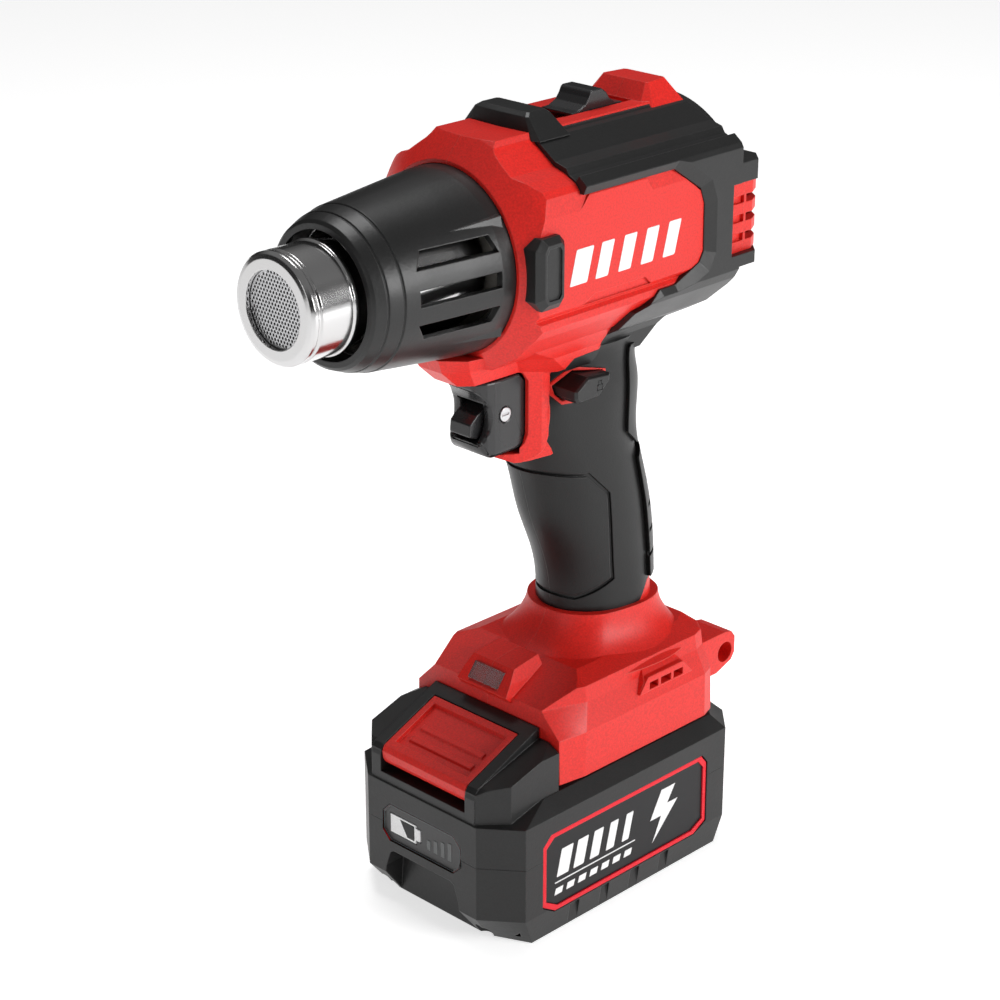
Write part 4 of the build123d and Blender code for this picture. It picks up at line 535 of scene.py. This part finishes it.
# ---------------------------------------------------------------- modelling tools
class Bench:
    """Modelling by operators, as by hand: primitives shaped in edit mode."""

    @staticmethod
    def clear_selection() -> None:
        """Deselects everything, so that an operator acts on one piece."""
        if bpy.context.mode != "OBJECT":
            bpy.ops.object.mode_set(mode="OBJECT")
        bpy.ops.object.select_all(action="DESELECT")

    @staticmethod
    def focus(piece: bpy.types.Object) -> None:
        """Makes one piece the selected and active one."""
        Bench.clear_selection()
        piece.select_set(True)
        bpy.context.view_layer.objects.active = piece

    @staticmethod
    def pick(test: Callable[[Vector], bool], kind: str = "VERT") -> None:
        """Selects the edit mesh's elements whose middle passes a test.

        Args:
            test: tells whether a point is wanted.
            kind: VERT, EDGE or FACE.
        """
        bpy.ops.mesh.select_mode(type=kind)
        mesh = bpy.context.edit_object.data
        edit = bmesh.from_edit_mesh(mesh)
        bpy.ops.mesh.select_all(action="DESELECT")
        elements = {"VERT": edit.verts, "EDGE": edit.edges, "FACE": edit.faces}[kind]
        for element in elements:
            if kind == "VERT":
                middle = element.co
            elif kind == "EDGE":
                middle = (element.verts[0].co + element.verts[1].co) / 2
            else:
                middle = element.calc_center_median()
            if test(middle):
                element.select = True
        edit.select_flush_mode()
        bmesh.update_edit_mesh(mesh)

    @staticmethod
    def settle(piece: bpy.types.Object) -> bpy.types.Object:
        """Applies the piece's place, so that its object sits at the origin.

        Args:
            piece: the piece to settle.

        Returns:
            The same piece.
        """
        if bpy.context.mode != "OBJECT":
            bpy.ops.object.mode_set(mode="OBJECT")
        Bench.focus(piece)
        bpy.ops.object.transform_apply(location=True, rotation=True, scale=True)
        return piece

    @staticmethod
    def slab(
        name: str, centre: Point, size: Point, slant: float = 0.0, corner: float = 0.0
    ) -> bpy.types.Object:
        """Makes a thin block, with its top edge pushed along X and rounded corners.

        Args:
            name: the piece's name.
            centre: its middle, in metres.
            size: its lengths along X, Y and Z, in metres.
            slant: how far the top leans along X, in metres.
            corner: the radius of the four upright corners of its outline, in metres.

        Returns:
            The new object.
        """
        Bench.clear_selection()
        bpy.ops.mesh.primitive_cube_add(size=1.0, location=centre)
        piece = bpy.context.active_object
        piece.name = name
        piece.scale = size
        Bench.settle(piece)
        bpy.ops.object.mode_set(mode="EDIT")
        if slant:
            Bench.pick(lambda v: v.z > centre[2])
            bpy.ops.transform.translate(value=(slant, 0.0, 0.0))
        if corner:
            Bench.pick(lambda v: abs(v.y - centre[1]) < size[1] * 0.1, "EDGE")
            bpy.ops.mesh.bevel(offset=corner, segments=3)
        bpy.ops.object.mode_set(mode="OBJECT")
        return piece

    @staticmethod
    def _sheet(name: str, outline: Sequence[Point]) -> bpy.types.Object:
        """Lays one flat face along an outline and stays in edit mode.

        Args:
            name: the piece's name.
            outline: its corners in order, in metres.

        Returns:
            The new object, all of it selected.
        """
        Bench.clear_selection()
        bpy.ops.mesh.primitive_circle_add(vertices=len(outline), radius=0.01, fill_type="NGON")
        piece = bpy.context.active_object
        piece.name = name
        bpy.ops.object.mode_set(mode="EDIT")
        edit = bmesh.from_edit_mesh(piece.data)
        for vertex, corner in zip(list(edit.verts), outline):
            vertex.co = corner
        bmesh.update_edit_mesh(piece.data)
        bpy.ops.mesh.select_all(action="SELECT")
        return piece

    @staticmethod
    def _thicken(piece: bpy.types.Object, push: Point) -> bpy.types.Object:
        """Pushes the selected faces out to a thickness and leaves edit mode.

        Args:
            piece: the piece in edit mode.
            push: the direction and depth of its thickness, in metres.

        Returns:
            The same piece, settled.
        """
        bpy.ops.mesh.extrude_region_move(TRANSFORM_OT_translate={"value": push})
        bpy.ops.mesh.select_all(action="SELECT")
        bpy.ops.mesh.normals_make_consistent(inside=False)
        bpy.ops.object.mode_set(mode="OBJECT")
        return Bench.settle(piece)

    @staticmethod
    def plate(name: str, outline: Sequence[Point], push: Point) -> bpy.types.Object:
        """Makes a flat plate from its outline, pushed out to a thickness.

        Args:
            name: the piece's name.
            outline: its corners in order, in metres.
            push: the direction and depth of its thickness, in metres.

        Returns:
            The new object.
        """
        return Bench._thicken(Bench._sheet(name, outline), push)

    @staticmethod
    def ring(name: str, outline: Sequence[Point], width: float, push: Point) -> bpy.types.Object:
        """Makes a flat frame that follows an outline.

        Args:
            name: the piece's name.
            outline: its outer corners in order, in metres.
            width: how wide the frame is, in metres.
            push: the direction and depth of its thickness, in metres.

        Returns:
            The new object.
        """
        piece = Bench._sheet(name, outline)
        bpy.ops.mesh.select_mode(type="FACE")
        bpy.ops.mesh.inset(thickness=width)
        bpy.ops.mesh.delete(type="FACE")
        bpy.ops.mesh.select_all(action="SELECT")
        return Bench._thicken(piece, push)

    @staticmethod
    def merge(name: str, pieces: Sequence[bpy.types.Object]) -> bpy.types.Object:
        """Joins several pieces into one.

        Args:
            name: the joined piece's name.
            pieces: the pieces, of which the first stays.

        Returns:
            The joined object.
        """
        Bench.clear_selection()
        for piece in pieces:
            piece.select_set(True)
        bpy.context.view_layer.objects.active = pieces[0]
        bpy.ops.object.join()
        pieces[0].name = name
        return pieces[0]


def face_depth(node: bpy.types.Object, x: float, z: float, side: Side) -> float:
    """How far out a node's flank stands at one place.

    Args:
        node: the node's object.
        x: the place along X, in metres.
        z: the place along Z, in metres.
        side: the flank to look at.

    Returns:
        The Y of the outermost surface, in metres.
    """
    corners = [vertex.co for vertex in node.data.vertices]
    faces = [tuple(face.vertices) for face in node.data.polygons]
    surface = BVHTree.FromPolygons(corners, faces)
    start = Vector((x, side.value * 1.0, z))
    place, _, _, _ = surface.ray_cast(start, Vector((0.0, -side.value, 0.0)))
    return place.y if place else 0.0


# ---------------------------------------------------------------- sub-assemblies
@dataclass
class SubAssembly:
    """What each sub-assembly shares: the frame's nodes and the finishes."""

    nodes: dict[str, bpy.types.Object]
    wardrobe: Wardrobe
    made: list[tuple[bpy.types.Object, str]] = field(default_factory=list)

    def register(self, piece: bpy.types.Object, body: str, finish: str) -> bpy.types.Object:
        """Dresses a new piece and lets it ride on a body.

        Args:
            piece: the new piece.
            body: the moving body that it belongs to.
            finish: the finish's name.

        Returns:
            The same piece.
        """
        self.wardrobe.dress(piece, finish)
        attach(piece, body)
        self.made.append((piece, body))
        return piece

    def report(self) -> None:
        """Logs each new piece."""
        for piece, body in self.made:
            LOG.info("%s rides on %s, %d faces", piece.name, body, len(piece.data.polygons))


@dataclass
class CarriedNodes(SubAssembly):
    """The mechanical nodes, dressed in the finish that the record names."""

    slots: dict[str, str] = field(default_factory=dict)
    weld: float = 0.004 * MM
    flat_angle: float = math.radians(0.8)
    edge_angle: float = math.radians(24)
    rounding: dict[str, float] = field(default_factory=lambda: {
        "trigger": 0.9 * MM,
        "trigger_tab": 0.5 * MM,
        "mode_slider": 0.3 * MM,
    })

    def build(self) -> None:
        """Gives each node its finish, and a few nodes a rounded copy."""
        for name, node in self.nodes.items():
            self.wardrobe.dress(node, self.slots[name])
            if name in self.rounding:
                self._rounded_copy(node, self.rounding[name])

    def _rounded_copy(self, node: bpy.types.Object, width: float) -> None:
        """Stands a copy with rounded edges in for a node.

        Args:
            node: the node's object.
            width: the width of the rounding, in metres.
        """
        Bench.clear_selection()
        copy = node.copy()
        copy.data = node.data.copy()
        copy.parent = None
        for key in list(copy.keys()):
            del copy[key]
        copy.name = f"{node.name}_moulding"
        bpy.context.scene.collection.objects.link(copy)
        Bench.focus(copy)
        bpy.ops.object.mode_set(mode="EDIT")
        bpy.ops.mesh.select_all(action="SELECT")
        bpy.ops.mesh.remove_doubles(threshold=self.weld)
        bpy.ops.mesh.dissolve_limited(angle_limit=self.flat_angle)
        bpy.ops.object.mode_set(mode="OBJECT")
        surface = BVHTree.FromObject(copy, bpy.context.evaluated_depsgraph_get())
        bevel = copy.modifiers.new("rounded_edges", "BEVEL")
        bevel.width = width
        bevel.segments = 2
        bevel.limit_method = "ANGLE"
        bevel.angle_limit = self.edge_angle
        bevel.use_clamp_overlap = False
        bevel.harden_normals = True
        bpy.ops.object.modifier_apply(modifier=bevel.name)
        strays = 0
        for vertex in copy.data.vertices:
            place, _, _, gap = surface.find_nearest(vertex.co)
            if gap > width * 0.5:
                vertex.co = place
                strays += 1
        copy.data.update()
        LOG.info("%s: %d faces, %d strays", copy.name, len(copy.data.polygons), strays)
        body = node["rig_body"]
        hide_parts(node.name)
        self.register(copy, body, self.slots[node.name])


@dataclass
class FlankMark(SubAssembly):
    """Slanted white bars printed on both flanks of the barrel."""

    count: int = 5
    bar_width: float = 5.6 * MM
    gap: float = 4.6 * MM
    low: float = 219.6 * MM
    high: float = 230.6 * MM
    first: float = -22.0 * MM
    slant: float = 3.0 * MM
    thickness: float = 0.12 * MM
    corner: float = 0.5 * MM
    first_extra: float = 2.0 * MM

    def build(self) -> None:
        """Prints the bars on each side, the first one wider than the others."""
        for side, node_name in ((Side.LEFT, "housing_left"), (Side.RIGHT, "housing_right")):
            bars = []
            middle = (self.low + self.high) / 2
            for k in range(self.count):
                x = self.first + k * (self.bar_width + self.gap)
                y = face_depth(self.nodes[node_name], x, middle, side)
                width = self.bar_width + (self.first_extra if k == 0 else 0.0)
                centre = (x - self.slant / 2, y, middle)
                size = (width, self.thickness, self.high - self.low)
                bars.append(Bench.slab(f"bar_{k}", centre, size, self.slant, self.corner))
            mark = Bench.merge(f"flank_mark_{side.name.lower()}", bars)
            self.register(mark, "gun", "white_print")


@dataclass
class LabelPrint(SubAssembly):
    """Generic white print on the pack's labels: bars, a rule, a row of marks and a bolt."""

    thickness: float = 0.12 * MM
    middle_z: float = 23.0 * MM
    bar_count: int = 5
    bar_first: float = -31.0 * MM
    bar_pitch: float = 7.6 * MM
    bar_width: float = 5.6 * MM
    bar_narrowing: float = 0.55 * MM
    bar_height: float = 9.8 * MM
    bar_z: float = 25.4 * MM
    bar_slant: float = 2.4 * MM
    bar_corner: float = 0.4 * MM
    rule_x: float = -15.0 * MM
    rule_z: float = 18.6 * MM
    rule_length: float = 39.0 * MM
    rule_height: float = 0.5 * MM
    mark_count: int = 7
    mark_first: float = -33.0 * MM
    mark_pitch: float = 5.6 * MM
    mark_width: float = 3.6 * MM
    mark_height: float = 2.4 * MM
    mark_z: float = 15.2 * MM
    mark_slant: float = 0.7 * MM
    mark_corner: float = 0.2 * MM
    bolt: tuple[tuple[float, float], ...] = (
        (17.5, 32.5), (24.5, 32.5), (20.6, 26.4), (26.0, 26.4), (13.4, 13.6), (17.6, 22.6), (12.0, 22.6),
    )

    def build(self) -> None:
        """Prints both labels."""
        for side, node_name in ((Side.LEFT, "label_plate_left"), (Side.RIGHT, "label_plate_right")):
            y = face_depth(self.nodes[node_name], 0.0, self.middle_z, side)
            pieces = self._bars(y) + self._marks(y)
            outline = [(x * MM, y, z * MM) for x, z in self.bolt]
            pieces.append(Bench.plate("bolt", outline, (0.0, side.value * self.thickness / 2, 0.0)))
            label = Bench.merge(f"label_print_{side.name.lower()}", pieces)
            self.register(label, "pack", "white_print")

    def _bars(self, y: float) -> list[bpy.types.Object]:
        """Makes the tall slanted bars and the rule under them.

        Args:
            y: where the label's face stands, in metres.

        Returns:
            The new pieces.
        """
        bars = []
        for k in range(self.bar_count):
            centre = (self.bar_first + k * self.bar_pitch, y, self.bar_z)
            size = (self.bar_width - k * self.bar_narrowing, self.thickness, self.bar_height)
            bars.append(Bench.slab(f"label_bar_{k}", centre, size, self.bar_slant, self.bar_corner))
        rule_size = (self.rule_length, self.thickness, self.rule_height)
        bars.append(Bench.slab("label_rule", (self.rule_x, y, self.rule_z), rule_size))
        return bars

    def _marks(self, y: float) -> list[bpy.types.Object]:
        """Makes the low row of small marks.

        Args:
            y: where the label's face stands, in metres.

        Returns:
            The new pieces.
        """
        marks = []
        size = (self.mark_width, self.thickness, self.mark_height)
        for k in range(self.mark_count):
            centre = (self.mark_first + k * self.mark_pitch, y, self.mark_z)
            marks.append(Bench.slab(f"label_mark_{k}", centre, size, self.mark_slant, self.mark_corner))
        return marks


@dataclass
class GaugePrint(SubAssembly):
    """Red line round the charge gauge and the dark part of its cell mark."""

    inset: float = 0.12 * MM
    line: float = 0.5 * MM
    corner: float = 3.4 * MM
    thickness: float = 0.08 * MM
    wedge: tuple[tuple[float, float], ...] = ((10.4, 33.0), (3.7, 33.0), (3.7, 27.6), (7.0, 27.6))

    def build(self) -> None:
        """Adds the line to the pack and the wedge to the press key."""
        low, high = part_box("gauge_panel")
        y = high[1] - self.inset
        z0 = low[2] + self.inset
        z1 = high[2] - self.inset
        cut = self.corner
        corners = (
            (-y, z0 + cut), (-y + cut, z0), (y - cut, z0), (y, z0 + cut),
            (y, z1 - cut), (y - cut, z1), (-y + cut, z1), (-y, z1 - cut),
        )
        outline = [(low[0], a, b) for a, b in corners]
        ring = Bench.ring("gauge_line", outline, self.line, (-self.thickness, 0.0, 0.0))
        self.register(ring, "pack", "label_red")
        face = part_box("gauge_button")[0][0]
        outline = [(face, a * MM, b * MM) for a, b in self.wedge]
        wedge = Bench.plate("gauge_wedge", outline, (-self.thickness, 0.0, 0.0))
        self.register(wedge, "gauge_key", "label_black")


@dataclass
class LockMark(SubAssembly):
    """Small padlock outline on the lock button's left face."""

    centre_x: float = -0.6 * MM
    base_z: float = 177.2 * MM
    stroke: float = 0.28 * MM
    thickness: float = 0.10 * MM
    case_width: float = 2.4 * MM
    case_height: float = 1.8 * MM
    case_side: float = 1.06 * MM
    shackle_width: float = 1.2 * MM
    shackle_height: float = 1.2 * MM
    shackle_gap: float = 0.1 * MM

    def build(self) -> None:
        """Makes the padlock from thin strips: its case, then its shackle."""
        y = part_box("lock_button")[0][1]
        x = self.centre_x
        z = self.base_z
        half = self.shackle_width / 2
        leg_z = z + self.case_height + self.shackle_gap + self.shackle_height / 2
        top_z = leg_z + self.shackle_height / 2
        strips = (
            (x, z, self.case_width, 0.0),
            (x, z + self.case_height, self.case_width, 0.0),
            (x - self.case_side, z + self.case_height / 2, 0.0, self.case_height),
            (x + self.case_side, z + self.case_height / 2, 0.0, self.case_height),
            (x - half, leg_z, 0.0, self.shackle_height),
            (x + half, leg_z, 0.0, self.shackle_height),
            (x, top_z, self.shackle_width, 0.0),
        )
        pieces = []
        for k, (px, pz, wide, tall) in enumerate(strips):
            size = (wide + self.stroke, self.thickness, tall + self.stroke)
            pieces.append(Bench.slab(f"lock_strip_{k}", (px, y, pz), size))
        self.register(Bench.merge("lock_mark", pieces), "lock", "label_black")


@dataclass
class LampChips(SubAssembly):
    """Three pale lamp chips on the work light's board."""

    count: int = 3
    pitch: float = 3.4 * MM
    half: float = 0.7 * MM
    flatness: float = 0.8
    thickness: float = 0.3 * MM
    inset: float = 0.5 * MM
    lift: float = 0.25 * MM

    def build(self) -> None:
        """Lays the chips on the board's slanted face."""
        low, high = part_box("led_board")
        along = Vector((0.61, 0.0, 0.79)) * self.half * self.flatness
        across = Vector((0.0, self.half, 0.0))
        push = Vector((-0.79, 0.0, 0.61)) * self.thickness
        middle = Vector((low[0] + self.inset, 0.0, (low[2] + high[2]) / 2 + self.lift))
        pieces = []
        for k in range(self.count):
            centre = middle + Vector((0.0, (k - (self.count - 1) // 2) * self.pitch, 0.0))
            corners = (
                centre - along - across, centre - along + across,
                centre + along + across, centre + along - across,
            )
            outline = [tuple(corner) for corner in corners]
            pieces.append(Bench.plate(f"chip_{k}", outline, tuple(push)))
        self.register(Bench.merge("lamp_chips", pieces), "gun", "ceramic")


@dataclass
class Studio:
    """Floor, soft lights, world and camera."""

    azimuth: float = math.radians(-45.353)
    elevation: float = math.radians(22.753)
    distance: float = 0.80249
    aim: Point = (-0.02235, 0.0, 0.13953)
    focal: float = 90.25
    floor_size: float = 8.0
    floor_drop: float = 0.3 * MM
    floor_tone: float = 0.86
    floor_glow: float = 0.66
    sky_strength: float = 0.24
    light_aim: Point = (0.0, 0.0, 0.15)

    def build(self) -> None:
        """Sets up everything round the object."""
        self._floor()
        self._world()
        self._lights()
        self._camera()
        bpy.context.scene.view_settings.view_transform = "Standard"

    def _floor(self) -> None:
        """Lays a plain pale floor."""
        Bench.clear_selection()
        bpy.ops.mesh.primitive_plane_add(size=self.floor_size, location=(0.0, 0.0, -self.floor_drop))
        floor = bpy.context.active_object
        floor.name = "floor"
        material = bpy.data.materials.new("pale_floor")
        material.use_nodes = True
        shader = material.node_tree.nodes["Principled BSDF"]
        shader.inputs["Base Color"].default_value = (self.floor_tone, self.floor_tone, self.floor_tone, 1.0)
        shader.inputs["Roughness"].default_value = 0.9
        shader.inputs["Emission Color"].default_value = (1.0, 1.0, 1.0, 1.0)
        shader.inputs["Emission Strength"].default_value = self.floor_glow
        floor.data.materials.append(material)

    def _world(self) -> None:
        """Makes an even sky with a dark band above the horizon, for polished steel to mirror."""
        world = bpy.data.worlds.new("studio")
        bpy.context.scene.world = world
        world.use_nodes = True
        graph = Graph(world.node_tree)
        graph.tree.nodes.clear()
        coords = graph.add("ShaderNodeTexCoord")
        split = graph.add("ShaderNodeSeparateXYZ")
        graph.join(coords.outputs["Generated"], split.inputs[0])
        ramp = graph.add("ShaderNodeValToRGB")
        graph.join(graph.math("MULTIPLY_ADD", split.outputs["Z"], 0.5), ramp.inputs[0])
        stops = ramp.color_ramp.elements
        stops[0].position = 0.0
        stops[0].color = (0.55, 0.55, 0.55, 1.0)
        stops[1].position = 1.0
        stops[1].color = (0.75, 0.75, 0.75, 1.0)
        stops.new(0.62).color = (0.10, 0.10, 0.10, 1.0)
        stops.new(0.80).color = (0.85, 0.85, 0.85, 1.0)
        background = graph.add("ShaderNodeBackground")
        background.inputs["Strength"].default_value = self.sky_strength
        graph.join(ramp.outputs["Color"], background.inputs["Color"])
        output = graph.add("ShaderNodeOutputWorld")
        graph.join(background.outputs[0], output.inputs[0])

    def _lights(self) -> None:
        """Adds three soft boxes: flank, top and front."""
        self._soft_box("flank_light", (0.45, -1.35, 0.55), 0.6, 15.0)
        self._soft_box("top_light", (0.10, 0.25, 1.35), 0.6, 8.0)
        self._soft_box("front_light", (-1.3, -0.15, 0.45), 0.5, 1.4)

    def _soft_box(self, name: str, place: Point, size: float, power: float) -> None:
        """Adds one square soft box that looks at the object.

        Args:
            name: the light's name.
            place: where it stands, in metres.
            size: its edge, in metres.
            power: its power, in watts.
        """
        data = bpy.data.lights.new(name, "AREA")
        data.shape = "SQUARE"
        data.size = size
        data.energy = power
        lamp = bpy.data.objects.new(name, data)
        lamp.location = place
        aim = Vector(self.light_aim) - Vector(place)
        lamp.rotation_euler = aim.to_track_quat("-Z", "Y").to_euler()
        bpy.context.scene.collection.objects.link(lamp)

    def _camera(self) -> None:
        """Adds a long lens that looks down on the nozzle's side of the tool."""
        back = Vector((
            math.sin(self.azimuth) * math.cos(self.elevation),
            -math.cos(self.azimuth) * math.cos(self.elevation),
            math.sin(self.elevation),
        ))
        data = bpy.data.cameras.new("camera")
        data.lens = self.focal
        data.sensor_width = 36.0
        camera = bpy.data.objects.new("camera", data)
        camera.location = Vector(self.aim) + back * self.distance
        camera.rotation_euler = (-back).to_track_quat("-Z", "Y").to_euler()
        bpy.context.scene.collection.objects.link(camera)
        bpy.context.scene.camera = camera


def main() -> None:
    """Builds the looks of the heat gun, sub-assembly by sub-assembly."""
    logging.basicConfig(level=logging.INFO, format="%(name)s: %(message)s")
    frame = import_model()
    nodes = frame["nodes"]
    wardrobe = Wardrobe(SharedEffects())
    wardrobe.stock()
    slots = {part["node"]: part["material_slot"] for part in frame["record"]["subparts"]}
    CarriedNodes(nodes, wardrobe, slots=slots).build()
    assemblies: list[SubAssembly] = [
        FlankMark(nodes, wardrobe), LabelPrint(nodes, wardrobe), GaugePrint(nodes, wardrobe),
        LockMark(nodes, wardrobe), LampChips(nodes, wardrobe),
    ]
    for assembly in assemblies:
        assembly.build()
        assembly.report()
    Studio().build()


if __name__ == "__main__":
    main()
